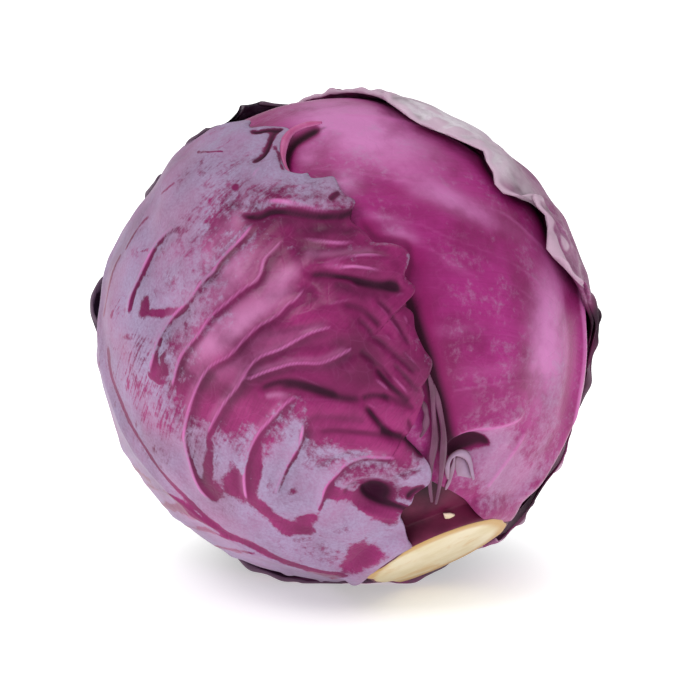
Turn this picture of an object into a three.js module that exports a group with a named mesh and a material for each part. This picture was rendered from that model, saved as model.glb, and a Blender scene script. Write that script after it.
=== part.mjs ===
import * as THREE from 'three';

// A head of red cabbage, cut from its stalk and lying on its lower side.
// Four wrapper leaves, each a thick curved blade with a midrib, side veins and a waved margin,
// lie over a dense ball of inner leaves, and all of them spring from a short pale stem stub.
// Units are millimetres, +Z is up, and the origin is the middle of the flat spot that it rests on.
//
// Places on the head are given as (polar, turn) in degrees: polar is 0 at the stem and 180 at the
// crown, and turn goes round the stem-to-crown axis, 0 in front and positive towards +X.

// Driving dimensions of the head
const HEART_RADIUS = 76.1;
const BLADE_THICKNESS = 1.2;
const LAYER_GAP = 0.9;
const SIDE_VEIN_HEIGHT = 0.8;
const REST_FLAT_DEPTH = 2;

// The stem leans from straight down towards the front right, and the front is seen from above
const STEM_LEAN = 37;
const STEM_TURN = 40;
const FRONT_ELEVATION = 14;

// The stem stub, measured along its axis from the centre of the head
const STEM_TOP = 61.6;
const STEM_CUT = 77.6;
const STEM_TOP_RADIUS = 19;
const STEM_WAIST_RADIUS = 21.4;
const STEM_WAIST = 68.8;
const STEM_CUT_RADIUS = 23.6;
const STEM_CUT_DOME = 0.6;
const STEM_RIM_BEVEL = 1.6;
const STEM_SIDES = 30;

// The ball of inner leaves, with a socket for the stem stub at its lower end
const HEART_SPOKES = 36;
const HEART_RINGS = 18;
const HEART_LEAF_EDGES = 3;
const HEART_LEAF_STEP = 1.1;
const HEART_LEAF_WINDING = 0.18;
const SOCKET_FLOOR = 60.6;
const SOCKET_POLARS = [9, 16];
const SOCKET_ANGLE = 20.5;
const SOCKET_LIP_ANGLE = 25;

// The midrib of every wrapper leaf, thick at the stem and thin at the tip
const MIDRIB_BASE_HEIGHT = 2.8;
const MIDRIB_TIP_HEIGHT = 0.4;
const MIDRIB_BASE_HALF_WIDTH = 5.5;
const MIDRIB_TIP_HALF_WIDTH = 1.6;

// How far past its margin a leaf still props up the leaf that lies over it, in degrees
const PROP_MARGIN = 5;
const PROP_FADE = 14;

// The side veins leave the midrib low and sweep up to the margin. A vein's place is a share of the
// margin's length, and its bend is a share of the way out and up.
const VEINS_PER_LEAF = 9;
const FIRST_VEIN = 0.08;
const LAST_VEIN = 0.93;
const VEIN_HALF_WIDTH = 0.028;
const VEIN_SWEEP_LAG = 1.9;
const VEIN_BEND_OUT = 0.52;
const VEIN_BEND_UP = 0.36;

// The mesh of a blade: three rows to a side vein, and columns crowded towards the midrib
const FIRST_ROW = 0.02;
const LAST_ROW = 0.98;
const COLUMNS = [0, 0.045, 0.1, 0.18, 0.28, 0.38, 0.48, 0.58, 0.68, 0.78, 0.87, 0.94, 1];

// The plain margin is an oval with a slow wave and a quicker ripple, as shares of its reach
const MARGIN_STEPS = 18;
const MARGIN_WAVE = 0.016;
const MARGIN_RIPPLE = 0.008;
const RIPPLES_PER_WAVE = 2.3;

// Where the margin's flare fades in: across the blade, away from the stem, and on to the tip
const FLARE_COLUMNS = [0.72, 1];
const FLARE_STEM_ROWS = [0.1, 0.26];
const FLARE_TIP_ROWS = [0.68, 0.86];
const FLARE_MEAN = 0.55;
const FLARE_SWING = 0.45;
const RIGHT_FLARE_PHASE = 2;

// The wrapper leaves from the innermost to the outermost. turn is where the midrib runs, and reach
// is how far the blade goes from the middle of the leaf, in degrees. A margin is a list of places
// from the stem to the tip where the edge doesn't follow the plain oval. flare is how far the edge
// stands off, in millimetres, and waves is how often it does.
const WRAPPER_LEAVES = [
  {
    name: 'right_leaf',
    turn: 85,
    reach: { left: 104, right: 76, tip: 98, base: 70 },
    leftMargin: [
      [19.6, 70], [20, 50], [22, 35], [25, 27], [29, 19], [33, 12], [39, 5], [46, 0], [55, -5],
      [65, -10], [75, -15], [85, -18], [100, -19], [115, -19], [130, -20], [140, -21], [150, -24],
      [159, -31], [167, -47], [172, -85],
    ],
    flare: { left: 0, right: 0, tip: 0 },
    waves: 6,
    color: 0x9c3d74,
  },
  {
    name: 'left_leaf',
    turn: -70,
    reach: { left: 80, right: 88, tip: 84, base: 70 },
    rightMargin: [
      [19.6, -52], [20, -28], [22, -12], [27, 0], [34, 9], [41, 10], [48, 6], [55, 15],
      [66, 18], [78, 17], [84, 20], [91, 20], [97, 15.5], [104, 16], [113, 13], [121, 4],
      [132, 2], [145, 0], [156, -8], [165, -30], [172, -60],
    ],
    flare: { left: 0, right: 1.6, tip: 0 },
    waves: 9,
    color: 0x9a7ba6,
  },
  {
    name: 'back_right_leaf',
    turn: 136,
    reach: { left: 74, right: 70, tip: 86, base: 70 },
    leftMargin: [
      [19.8, 160], [24, 145], [30, 131], [37, 121], [43, 115], [49, 108], [55, 103], [62, 99],
      [68, 95], [72, 89], [74, 80], [75.5, 70],
      [78, 64], [82, 60.5], [86, 61.5], [89.5, 63], [92.5, 60.5], [95.5, 58], [98, 53.5],
      [104, 51.5], [107.5, 52.8], [111, 51.5], [118, 46.5], [123, 42.6], [128, 43.5], [137, 50],
      [150, 56], [163, 66], [172, 104],
    ],
    flare: { left: 2.8, right: 0, tip: 0 },
    waves: 8,
    color: 0xa2839c,
  },
  {
    name: 'back_left_leaf',
    turn: -158,
    reach: { left: 72, right: 76, tip: 92, base: 70 },
    rightMargin: [
      [19.6, -160], [22, -148], [27, -135], [33.5, -125], [40, -118], [47, -115], [55, -114],
      [64, -115], [76, -116], [95, -114], [108, -111], [117, -104], [121, -93], [127, -88],
      [133, -94], [139, -103], [146, -103], [151, -92], [154.5, -77], [158, -87], [162, -96],
      [166, -79], [169, -76], [172, -105], [173, -160], [172, 165],
    ],
    flare: { left: 2.2, right: 3, tip: 2.4 },
    waves: 10,
    color: 0x5b4156,
  },
];

// Swellings (positive) and hollows (negative) that run through every layer of the head:
// the place of each, its radius and its height in millimetres
const SWELLINGS = [
  { name: 'full left side', place: [100, -88], radius: 70, height: 1.2 },
  { name: 'turned-down flap', place: [109, 0], radius: 11, height: 1.8 },
  { name: 'groove under the flap', place: [99, 2], radius: 6, height: -1.6 },
  { name: 'crumpled edge', place: [82, 6], radius: 14, height: 1.2 },
  { name: 'dip between two leaves', place: [52, 18], radius: 9, height: -2.2 },
  { name: 'hollow in the left leaf', place: [38, -12], radius: 8, height: -2.6 },
  { name: 'hollow in the right leaf', place: [38, 29], radius: 9, height: -3 },
];

const {
  clamp, lerp, smoothstep, degToRad: toRadians, radToDeg: toDegrees,
} = THREE.MathUtils;

function gaussian(distance, width) {
  return Math.exp(-((distance / width) ** 2));
}

// The axes of the head: towards the stem, the crown, the front and the right
const stemAxis = new THREE.Vector3(
  Math.sin(toRadians(STEM_LEAN)) * Math.sin(toRadians(STEM_TURN)),
  -Math.sin(toRadians(STEM_LEAN)) * Math.cos(toRadians(STEM_TURN)),
  -Math.cos(toRadians(STEM_LEAN)),
);
const crownAxis = stemAxis.clone().negate();
const towardsViewer = new THREE.Vector3(
  0,
  -Math.cos(toRadians(FRONT_ELEVATION)),
  Math.sin(toRadians(FRONT_ELEVATION)),
);
const frontAxis = towardsViewer.clone().projectOnPlane(crownAxis).normalize();
const rightAxis = new THREE.Vector3().crossVectors(crownAxis, frontAxis);

function headDirection(polar, turn) {
  const across = Math.sin(toRadians(polar));
  return new THREE.Vector3()
    .addScaledVector(stemAxis, Math.cos(toRadians(polar)))
    .addScaledVector(frontAxis, across * Math.cos(toRadians(turn)))
    .addScaledVector(rightAxis, across * Math.sin(toRadians(turn)));
}

// A leaf is laid out on a flat chart, in degrees, that keeps distances from the leaf's middle:
// x is across the midrib and y runs along it, towards the crown
function makeChart(turn) {
  const centre = headDirection(90, turn);
  return { centre, north: crownAxis, east: new THREE.Vector3().crossVectors(crownAxis, centre) };
}

function toChart(chart, direction) {
  const distance = toDegrees(chart.centre.angleTo(direction));
  const angle = Math.atan2(direction.dot(chart.north), direction.dot(chart.east));
  return new THREE.Vector2(distance * Math.cos(angle), distance * Math.sin(angle));
}

function fromChart(chart, point) {
  const distance = toRadians(point.length());
  const angle = point.angle();
  return new THREE.Vector3()
    .addScaledVector(chart.centre, Math.cos(distance))
    .addScaledVector(chart.east, Math.sin(distance) * Math.cos(angle))
    .addScaledVector(chart.north, Math.sin(distance) * Math.sin(angle));
}

// Distance from the leaf's middle to its plain oval margin, at an angle on the chart
function ovalReach(reach, angle) {
  const across = Math.cos(angle) > 0 ? reach.right : reach.left;
  const along = Math.sin(angle) > 0 ? reach.tip : reach.base;
  return 1 / Math.hypot(Math.cos(angle) / across, Math.sin(angle) / along);
}

function midribBulge(leaf, point) {
  const { base, tip } = leaf.reach;
  const along = clamp((point.y + base) / (tip + base), 0, 1);
  const height = lerp(MIDRIB_BASE_HEIGHT, MIDRIB_TIP_HEIGHT, Math.sqrt(along));
  const halfWidth = lerp(MIDRIB_BASE_HALF_WIDTH, MIDRIB_TIP_HALF_WIDTH, along);
  return height * gaussian(point.x, halfWidth) * gaussian(Math.max(0, point.y - tip), PROP_MARGIN);
}

// How much a leaf lifts whatever lies over it in a direction
function lift(leaf, direction) {
  const point = toChart(leaf.chart, direction);
  const past = point.length() - ovalReach(leaf.reach, point.angle()) - PROP_MARGIN;
  const cover = 1 - smoothstep(past, 0, PROP_FADE);
  return cover * (BLADE_THICKNESS + LAYER_GAP + SIDE_VEIN_HEIGHT + midribBulge(leaf, point));
}

function innerRadius(leafIndex, direction) {
  let radius = HEART_RADIUS + LAYER_GAP;
  for (const under of leaves.slice(0, leafIndex)) radius += lift(under, direction);
  return radius;
}

function swelling(direction) {
  let height = 0;
  for (const one of swellings) {
    height += one.height * gaussian(one.direction.angleTo(direction) * HEART_RADIUS, one.radius);
  }
  return height;
}

function skinRadius(direction) {
  return innerRadius(leaves.length - 1, direction) + BLADE_THICKNESS + swelling(direction);
}

const leaves = WRAPPER_LEAVES.map((leaf) => ({ ...leaf, chart: makeChart(leaf.turn) }));
const swellings = SWELLINGS.map((one) => ({ ...one, direction: headDirection(...one.place) }));

// The skin is pressed flat where the head rests, and so is every layer above that spot
const straightDown = new THREE.Vector3(0, 0, -1);
const centreHeight = skinRadius(straightDown) - REST_FLAT_DEPTH;

function placeOnHead(direction, radius) {
  const swollen = radius + swelling(direction);
  const down = -direction.z;
  if (down <= 0) return direction.clone().multiplyScalar(swollen);
  const depth = Math.max(0, skinRadius(direction) - swollen);
  return direction.clone().multiplyScalar(Math.min(swollen, (centreHeight - depth) / down));
}

// One side of a leaf's margin as a curve from the stem to the tip
function marginCurve(leaf, side, listed) {
  if (listed) {
    return new THREE.CatmullRomCurve3(listed.map(([polar, turn]) => headDirection(polar, turn)));
  }
  const points = [];
  for (let step = 0; step <= MARGIN_STEPS; step += 1) {
    const angle = -Math.PI / 2 + (side * Math.PI * step) / MARGIN_STEPS;
    const wave = MARGIN_WAVE * Math.sin(leaf.waves * angle + side);
    const ripple = MARGIN_RIPPLE * Math.sin(RIPPLES_PER_WAVE * leaf.waves * angle);
    const reach = ovalReach(leaf.reach, angle) * (1 + wave + ripple);
    const point = new THREE.Vector2(reach * Math.cos(angle), reach * Math.sin(angle));
    points.push(fromChart(leaf.chart, point));
  }
  return new THREE.CatmullRomCurve3(points);
}

// The point of a blade at a share of the margin's length and a share of the way out to it
function bladePoint(leaf, margins, row, column) {
  const along = ((row - FIRST_ROW) / (LAST_ROW - FIRST_ROW)) ** VEIN_SWEEP_LAG;
  const rootY = lerp(-leaf.reach.base, leaf.reach.tip, along);
  const margin = column < 0 ? margins.left : margins.right;
  const end = toChart(leaf.chart, margin.getPointAt(row).normalize());
  const bend = new THREE.Vector2(end.x * VEIN_BEND_OUT, lerp(rootY, end.y, VEIN_BEND_UP));
  const vein = new THREE.QuadraticBezierCurve(new THREE.Vector2(0, rootY), bend, end);
  return vein.getPoint(Math.abs(column));
}

// How far the margin stands off the head, in waves
function edgeFlare(leaf, row, column) {
  const side = column < 0 ? leaf.flare.left : leaf.flare.right;
  const phase = column < 0 ? 0 : RIGHT_FLARE_PHASE;
  const height = lerp(side, leaf.flare.tip, smoothstep(row, ...FLARE_TIP_ROWS));
  const wave = FLARE_MEAN + FLARE_SWING * Math.sin(2 * Math.PI * leaf.waves * row + phase);
  const fade = smoothstep(row, ...FLARE_STEM_ROWS) * smoothstep(Math.abs(column), ...FLARE_COLUMNS);
  return height * wave * fade;
}

function bladeRows() {
  const rows = [{ at: FIRST_ROW, vein: 0 }];
  for (let vein = 0; vein < VEINS_PER_LEAF; vein += 1) {
    const at = lerp(FIRST_VEIN, LAST_VEIN, vein / (VEINS_PER_LEAF - 1));
    rows.push({ at: at - VEIN_HALF_WIDTH, vein: 0 });
    rows.push({ at, vein: 1 });
    rows.push({ at: at + VEIN_HALF_WIDTH, vein: 0 });
  }
  rows.push({ at: LAST_ROW, vein: 0 });
  return rows;
}

function meshGeometry(points, triangles) {
  const geometry = new THREE.BufferGeometry();
  const positions = points.flatMap((point) => point.toArray());
  geometry.setAttribute('position', new THREE.Float32BufferAttribute(positions, 3));
  geometry.setIndex(triangles);
  geometry.computeVertexNormals();
  return geometry;
}

// Joins an outer and an inner grid of points into one closed solid
function closedShell(outer, inner) {
  const rowCount = outer.length;
  const columnCount = outer[0].length;
  const outerAt = (row, column) => row * columnCount + column;
  const innerAt = (row, column) => outerAt(row, column) + rowCount * columnCount;
  const triangles = [];
  for (let row = 0; row + 1 < rowCount; row += 1) {
    for (let column = 0; column + 1 < columnCount; column += 1) {
      const [a, b] = [outerAt(row, column), outerAt(row, column + 1)];
      const [c, d] = [outerAt(row + 1, column + 1), outerAt(row + 1, column)];
      const [e, f] = [innerAt(row, column), innerAt(row, column + 1)];
      const [g, h] = [innerAt(row + 1, column + 1), innerAt(row + 1, column)];
      triangles.push(a, b, c, a, c, d, e, g, f, e, h, g);
    }
  }
  const rim = [];
  for (let column = 0; column < columnCount - 1; column += 1) rim.push([0, column]);
  for (let row = 0; row < rowCount - 1; row += 1) rim.push([row, columnCount - 1]);
  for (let column = columnCount - 1; column > 0; column -= 1) rim.push([rowCount - 1, column]);
  for (let row = rowCount - 1; row > 0; row -= 1) rim.push([row, 0]);
  rim.forEach((here, index) => {
    const next = rim[(index + 1) % rim.length];
    triangles.push(outerAt(...here), innerAt(...next), outerAt(...next));
    triangles.push(outerAt(...here), innerAt(...here), innerAt(...next));
  });
  return meshGeometry([...outer.flat(), ...inner.flat()], triangles);
}

function leafGeometry(leaf, leafIndex) {
  const margins = {
    left: marginCurve(leaf, -1, leaf.leftMargin),
    right: marginCurve(leaf, 1, leaf.rightMargin),
  };
  const columns = [...COLUMNS.slice(1).reverse().map((column) => -column), ...COLUMNS];
  const outer = [];
  const inner = [];
  for (const row of bladeRows()) {
    const outerRow = [];
    const innerRow = [];
    for (const column of columns) {
      const point = bladePoint(leaf, margins, row.at, column);
      const direction = fromChart(leaf.chart, point);
      const under = innerRadius(leafIndex, direction) + edgeFlare(leaf, row.at, column);
      const vein = row.vein * SIDE_VEIN_HEIGHT * Math.sqrt(1 - Math.abs(column));
      const over = under + BLADE_THICKNESS + vein + midribBulge(leaf, point);
      innerRow.push(placeOnHead(direction, under));
      outerRow.push(placeOnHead(direction, over));
    }
    outer.push(outerRow);
    inner.push(innerRow);
  }
  return closedShell(outer, inner);
}

// The dense ball of inner leaves: each leaf's edge is a low step that winds from stem to crown
function heartPoint(polar, turn) {
  const wound = HEART_LEAF_EDGES * (turn / 360 + (HEART_LEAF_WINDING * polar) / 180);
  const step = HEART_LEAF_STEP * (wound - Math.floor(wound)) * Math.sin(toRadians(polar));
  const socket = SOCKET_FLOOR / Math.cos(toRadians(Math.min(polar, SOCKET_LIP_ANGLE)));
  const outOfSocket = smoothstep(polar, SOCKET_ANGLE, SOCKET_LIP_ANGLE);
  return placeOnHead(headDirection(polar, turn), lerp(socket, HEART_RADIUS - step, outOfSocket));
}

function heartGeometry() {
  const polars = [...SOCKET_POLARS, SOCKET_ANGLE];
  for (let ring = 0; ring < HEART_RINGS; ring += 1) {
    polars.push(lerp(SOCKET_LIP_ANGLE, 180, ring / HEART_RINGS));
  }
  const points = [heartPoint(0, 0)];
  for (const polar of polars) {
    for (let spoke = 0; spoke < HEART_SPOKES; spoke += 1) {
      points.push(heartPoint(polar, (360 * spoke) / HEART_SPOKES));
    }
  }
  points.push(heartPoint(180, 0));
  const stemEnd = 0;
  const crownEnd = points.length - 1;
  const at = (ring, spoke) => 1 + ring * HEART_SPOKES + (spoke % HEART_SPOKES);
  const lastRing = polars.length - 1;
  const triangles = [];
  for (let spoke = 0; spoke < HEART_SPOKES; spoke += 1) {
    triangles.push(stemEnd, at(0, spoke + 1), at(0, spoke));
    for (let ring = 0; ring < lastRing; ring += 1) {
      const [a, b] = [at(ring, spoke), at(ring, spoke + 1)];
      const [c, d] = [at(ring + 1, spoke + 1), at(ring + 1, spoke)];
      triangles.push(a, b, c, a, c, d);
    }
    triangles.push(at(lastRing, spoke), at(lastRing, spoke + 1), crownEnd);
  }
  return meshGeometry(points, triangles);
}

// The stub of the stem: a short, slightly flared cylinder with a bevelled rim round its cut face
function stemGeometry() {
  const profile = [
    [0, STEM_CUT + STEM_CUT_DOME],
    [STEM_CUT_RADIUS - STEM_RIM_BEVEL, STEM_CUT],
    [STEM_CUT_RADIUS, STEM_CUT - STEM_RIM_BEVEL],
    [STEM_WAIST_RADIUS, STEM_WAIST],
    [STEM_TOP_RADIUS, STEM_TOP],
    [0, STEM_TOP],
  ].map(([radius, distance]) => new THREE.Vector2(radius, -distance));
  const geometry = new THREE.LatheGeometry(profile, STEM_SIDES);
  const latheAxis = new THREE.Vector3(0, 1, 0);
  geometry.applyQuaternion(new THREE.Quaternion().setFromUnitVectors(latheAxis, crownAxis));
  return geometry;
}

function piece(name, geometry, color, roughness) {
  const mesh = new THREE.Mesh(geometry, new THREE.MeshStandardMaterial({ color, roughness, metalness: 0 }));
  mesh.name = name;
  return mesh;
}

const cabbageHead = new THREE.Group();
cabbageHead.position.z = centreHeight;
cabbageHead.add(piece('stem', stemGeometry(), 0xddceae, 0.75));
cabbageHead.add(piece('heart_leaves', heartGeometry(), 0x5f2e3f, 0.5));
leaves.forEach((leaf, index) => {
  cabbageHead.add(piece(leaf.name, leafGeometry(leaf, index), leaf.color, 0.45));
});

export default cabbageHead;
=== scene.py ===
import math

import bpy
import numpy as np
from mathutils import Matrix, Vector


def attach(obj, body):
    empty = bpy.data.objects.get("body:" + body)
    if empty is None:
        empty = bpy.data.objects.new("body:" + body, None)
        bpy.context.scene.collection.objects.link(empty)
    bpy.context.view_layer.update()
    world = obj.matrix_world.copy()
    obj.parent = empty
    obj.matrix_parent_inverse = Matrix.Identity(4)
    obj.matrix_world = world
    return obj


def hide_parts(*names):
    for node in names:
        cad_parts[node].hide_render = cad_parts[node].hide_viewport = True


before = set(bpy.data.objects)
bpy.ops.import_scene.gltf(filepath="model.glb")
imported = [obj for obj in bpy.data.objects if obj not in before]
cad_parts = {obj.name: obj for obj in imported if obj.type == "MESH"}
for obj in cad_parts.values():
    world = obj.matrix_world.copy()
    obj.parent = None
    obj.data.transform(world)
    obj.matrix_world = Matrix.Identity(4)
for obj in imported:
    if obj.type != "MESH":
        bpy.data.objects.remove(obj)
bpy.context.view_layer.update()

# A head of red cabbage: finer leaves over the same layout as the solids, with the front's veins,
# folds, hollows and wax traced on the view.
# Sizes are millimetres and angles degrees, in the head's own frame, until a mesh is made.
# Places on the head are (polar, turn): polar is 0 at the stem and 180 at the crown, and turn is 0
# in front and positive towards +X. Places traced on the view from the front are pixels of the
# 700 x 700 frame, and are laid onto the head through the camera.
MM = 0.001
FRAME_PIXELS = 700

# The layout of the solids
HEART_RADIUS = 76.1
BLADE_THICKNESS = 1.2
LAYER_GAP = 0.9
SIDE_VEIN_HEIGHT = 0.8
REST_FLAT_DEPTH = 2.0
STEM_LEAN = 37
STEM_TURN = 40
FRONT_ELEVATION = 14
STEM_TOP = 61.6
STEM_CUT = 77.6
STEM_TOP_RADIUS = 19.0
STEM_WAIST_RADIUS = 21.4
STEM_WAIST = 68.8
STEM_CUT_RADIUS = 23.6
SOCKET_FLOOR = 60.6
MIDRIB_BASE_HEIGHT = 2.8
MIDRIB_TIP_HEIGHT = 0.4
MIDRIB_BASE_HALF_WIDTH = 5.5
MIDRIB_TIP_HALF_WIDTH = 1.6
PROP_MARGIN = 5
PROP_FADE = 14
VEINS_PER_LEAF = 9
FIRST_VEIN = 0.08
LAST_VEIN = 0.93
VEIN_HALF_WIDTH = 0.028
VEIN_SWEEP_LAG = 1.9
VEIN_BEND_OUT = 0.52
VEIN_BEND_UP = 0.36
STEM_EDGE_ANGLE = 17.4
BACK_ROOT_ANGLE = 20.8
FRONT_LEAVES = 2
EVEN_COLUMNS = (0.5, 1)
EVENING_PARTS = 16
MARGIN_POINTS_PER_SPAN = 24
OVAL_MARGIN_POINTS = 240
FIRST_ROW = 0.02
LAST_ROW = 0.98
MARGIN_WAVE = 0.016
MARGIN_RIPPLE = 0.008
RIPPLES_PER_WAVE = 2.3
FLARE_COLUMNS = (0.72, 1.0)
FLARE_STEM_ROWS = (0.18, 0.34)
FLARE_TIP_ROWS = (0.68, 0.86)
FLARE_MEAN = 0.55
FLARE_SWING = 0.45
RIGHT_FLARE_PHASE = 2

SWELLINGS = [
    ((100, -88), 70, 1.2),
    ((109, 0), 11, 1.8),
    ((99, 2), 6, -1.6),
    ((82, 6), 14, 1.2),
    ((52, 18), 9, -2.2),
    ((38, -12), 8, -2.6),
    ((38, 29), 9, -3.0),
]

# The leaf bases at the stem, level with the rim of the cut
NEAR_STEM_ANGLES = (17.5, 24)
RIM_DROP = 0.4
LEAST_RIM_COSINE = 0.5
BASE_STEP = 0.2

# The relief and the marks of a leaf's outer face. A grid is its rows, and its columns to the left
# and to the right of the midrib.
# Of the marks, crease and shade are painted shade and crest is a painted highlight. Pale is a
# painted highlight on the front leaves and a lighter tone on the back ones, vein is the veins' own
# lighter tone with a painted highlight on their upper side, and rub, bloom and streak are the
# leaf's own tones
MARKS = ("vein", "rub", "crease_shade", "crest", "pale", "bloom", "streak", "shade")
LEFT_LEAF_GRID = (321, 33, 233)
RIGHT_LEAF_GRID = (241, 213, 61)
BACK_LEAF_GRID = (261, 121, 121)
INNER_FACE_STEP = 4
DEEPEST = 2.3
HOLLOW_DEPTH = 2
EDGE_COLUMNS = (0.985, 1.0)
EDGE_ROWS = (LAST_ROW - 0.004, LAST_ROW)
EDGE_THINNING = 0.5
INNER_FACE_LIMIT = 0.6
FACING_FADE = (0.0, 0.14)
AROUND_FADE = (-0.4, 0.05)
LINE_REACH = 4
TRACE_POINTS_PER_SPAN = 5
VEIN_REACH = 26
FAR_FROM_VEINS = 60.0
VEIN_TAPER = 0.08
FOLD_TAPER = 0.12
CREST_TAPER = 0.35
THICK_MIDRIB_FROM = 5
UNTRACED_VEIN_TONE = 0.85
UNTRACED_RIDGE_SHARE = 0.36
UNTRACED_CREST_SHARE = 0.17
MIDRIB_TONE_LENGTH = 120
VEIN_WANDER = 0.09
WANDER_RATE = 11
WANDER_STEP = 2.4
FLOW_ACROSS = 100
FLOW_ALONG = 20

# The small strips and scraps
RIBBON_LENGTH_STEPS = 60
RIBBON_SECTION_STEPS = 16
RIBBON_END = 0.12
RIBBON_WOBBLE = 0.18
RIBBON_WOBBLE_TURN = 13
PATCH_POINTS_PER_SPAN = 6
PATCH_RINGS = [1.0, 0.92, 0.75, 0.5, 0.25]

# How far the rates of random waves spread round the one asked for
WAVE_RATES = (0.6, 1.5)

# The inner leaves: rows from, to and how many, the collar that meets the stem, and the shadow
# under the seam, in pixels
HEART_ROWS = [(4, 13, 6), (13.5, 21, 26), (22, 34, 13), (36, 176, 50)]
HEART_TURN_STEP = 3.0
HEART_INSET = 0.6
COLLAR_DROP = 0.5
COLLAR_WIDEST = 25
COLLAR_FADE = (0.4, 2.6)
SOCKET_WALL = (-1.6, -0.2)
HEART_RIPPLE = 0.4
HEART_RIPPLES = 9
HEART_RIPPLE_ANGLE = 23
HEART_RIPPLE_WIDTH = 3
SEAM_SHADOW_MIDDLE = (425, 455)
SEAM_SHADOW_RADII = (26, 46)

# The cut stem, and the rings down its side: radius and distance from the head's centre
STEM_SPOKES = 120
STEM_FACE_SHARES = (0.08, 0.98, 14)
STEM_FACE_EDGE = 0.8
STEM_DOME = 0.2
STEM_RAGGEDNESS = 0.006
OUTLINE_SHARES = (0.9, 1.06)
SIDE_TONE_DEPTHS = (0.4, 3.5)
STEM_SIDE = [
    (STEM_CUT_RADIUS - 0.35, STEM_CUT - 0.1),
    (STEM_CUT_RADIUS, STEM_CUT - 0.6),
    (STEM_CUT_RADIUS - 0.3, STEM_CUT - 3),
    (STEM_WAIST_RADIUS + 0.6, STEM_WAIST + 3),
    (STEM_WAIST_RADIUS, STEM_WAIST),
    (STEM_TOP_RADIUS + 1, STEM_TOP + 2),
    (STEM_TOP_RADIUS, STEM_TOP),
]

# Colours as seen on the screen, 0 to 255
# Each leaf's darkest colour is the painted shade in its creases and shaded folds. Its pale colour
# is the painted highlight on the pillows of the front leaves, and its vein colour also paints the
# highlights on crests
LEAF_COLOURS = {
    "waxy_leaf": {
        "dark": (96, 14, 64), "light": (150, 40, 106), "pale": (200, 132, 180),
        "wax": (164, 152, 184), "pink_wax": (168, 138, 170), "deep": (112, 20, 76),
        "vein": (216, 122, 190), "shade_colour": (44, 8, 32),
    },
    "magenta_leaf": {
        "dark": (128, 28, 88), "light": (166, 46, 126), "pale": (210, 128, 190),
        "wax": (176, 140, 176), "pink_wax": (184, 138, 176), "deep": (138, 14, 92),
        "vein": (204, 108, 176), "shade_colour": (48, 10, 32),
    },
    "pale_leaf": {
        "dark": (120, 50, 96), "light": (160, 84, 134), "pale": (236, 228, 236),
        "wax": (190, 160, 184), "pink_wax": (178, 136, 168), "deep": (104, 30, 76),
        "vein": (206, 176, 196), "shade_colour": (44, 24, 38),
    },
    "dark_leaf": {
        "dark": (40, 26, 40), "light": (66, 42, 62), "pale": (168, 92, 140),
        "wax": (98, 90, 108), "pink_wax": (90, 70, 92), "deep": (46, 14, 34),
        "vein": (112, 90, 108), "shade_colour": (26, 16, 24),
    },
}

# The scales of the noises in the leaves, in features per metre
TINT_SCALE = 30
CLOUD_SCALE = 42
MOTTLE_SCALE = 45
WARP_SCALE = 60
PALE_SCALE = 90
PATCH_SCALE = 95
NET_SCALE = 120
PORE_SCALE = 230
SPECKLE_SCALE = 420
GRAIN_SCALE = 1100
LEAF_SPECULAR = 0.18
INNER_SPECULAR = 0.15

# The studio, in metres and watts. The floor's glow is given by two distances from the middle and
# the strengths there.
FLOOR_HALF = 6.0
FLOOR_GREY = 0.7
FLOOR_GLOW = (0.03, 0.1, 0.42, 0.95)
WORLD_STRENGTH = 0.5
LIGHTS = [
    ("key", (-0.75, -0.75, 1.15), 0.7, 8),
    ("front", (0.15, -1.4, 0.55), 0.5, 1.5),
    ("top", (0.1, 0.35, 1.3), 0.8, 2),
]

# The camera: straight in front, a little above the head, which sits left of and above the middle
CAMERA_DISTANCE = 1100.0
CAMERA_LENS = 173.4
CAMERA_SENSOR = 36.0
CAMERA_ASIDE = 2.6
CAMERA_BELOW = 3.3
CAMERA_CLIP = (0.05, 50)

# The seam: where the left leaf's margin lies over the right leaf, from the stem up, in pixels
SEAM = [
    (412, 545), (408, 540), (406, 530), (402, 522), (404, 515), (413, 505), (418, 492), (430, 480),
    (429, 465), (421, 454), (408, 441), (404, 435), (412, 427), (421, 410), (426, 398), (422, 386),
    (427, 376), (430, 361), (422, 349), (414, 329), (412, 313), (402, 304), (412, 296), (414, 288),
    (403, 278), (406, 267), (408, 257), (405, 252), (397, 247), (385, 244), (373, 243), (367, 235),
    (360, 229), (352, 224), (350, 216), (355, 206), (352, 203), (345, 200), (339, 191), (336, 183),
    (333, 179), (322, 180), (311, 180), (308, 175), (303, 177), (290, 176), (284, 168), (281, 155),
    (283, 142), (291, 133), (282, 128), (270, 129), (258, 131), (251, 131), (249, 121),
]

SEAM_RADIUS = 80.5

# The pale leaf's wavy margin at the upper right, from the right edge of the head to the top
PALE_MARGIN = [
    (594, 302), (588, 291), (578, 284), (572, 276), (567, 268), (563, 262), (554, 252), (550, 243),
    (549, 236), (550, 228), (547, 219), (538, 210), (532, 203), (531, 196), (518, 194), (506, 187),
    (498, 180), (496, 173), (486, 164), (483, 155), (470, 145), (455, 136), (443, 127), (430, 122),
    (418, 117), (407, 112), (396, 106),
]
PALE_MARGIN_RADIUS = 82.4

# The outline of the stem's cut face
STEM_OUTLINE = [
    (362, 577), (374, 573), (388, 566), (401, 556), (420, 541), (438, 531), (455, 523), (466, 518),
    (480, 516), (497, 519), (509, 527), (507, 536), (500, 544), (488, 552), (470, 564), (450, 575),
    (430, 580), (410, 583), (390, 582), (372, 580),
]

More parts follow.
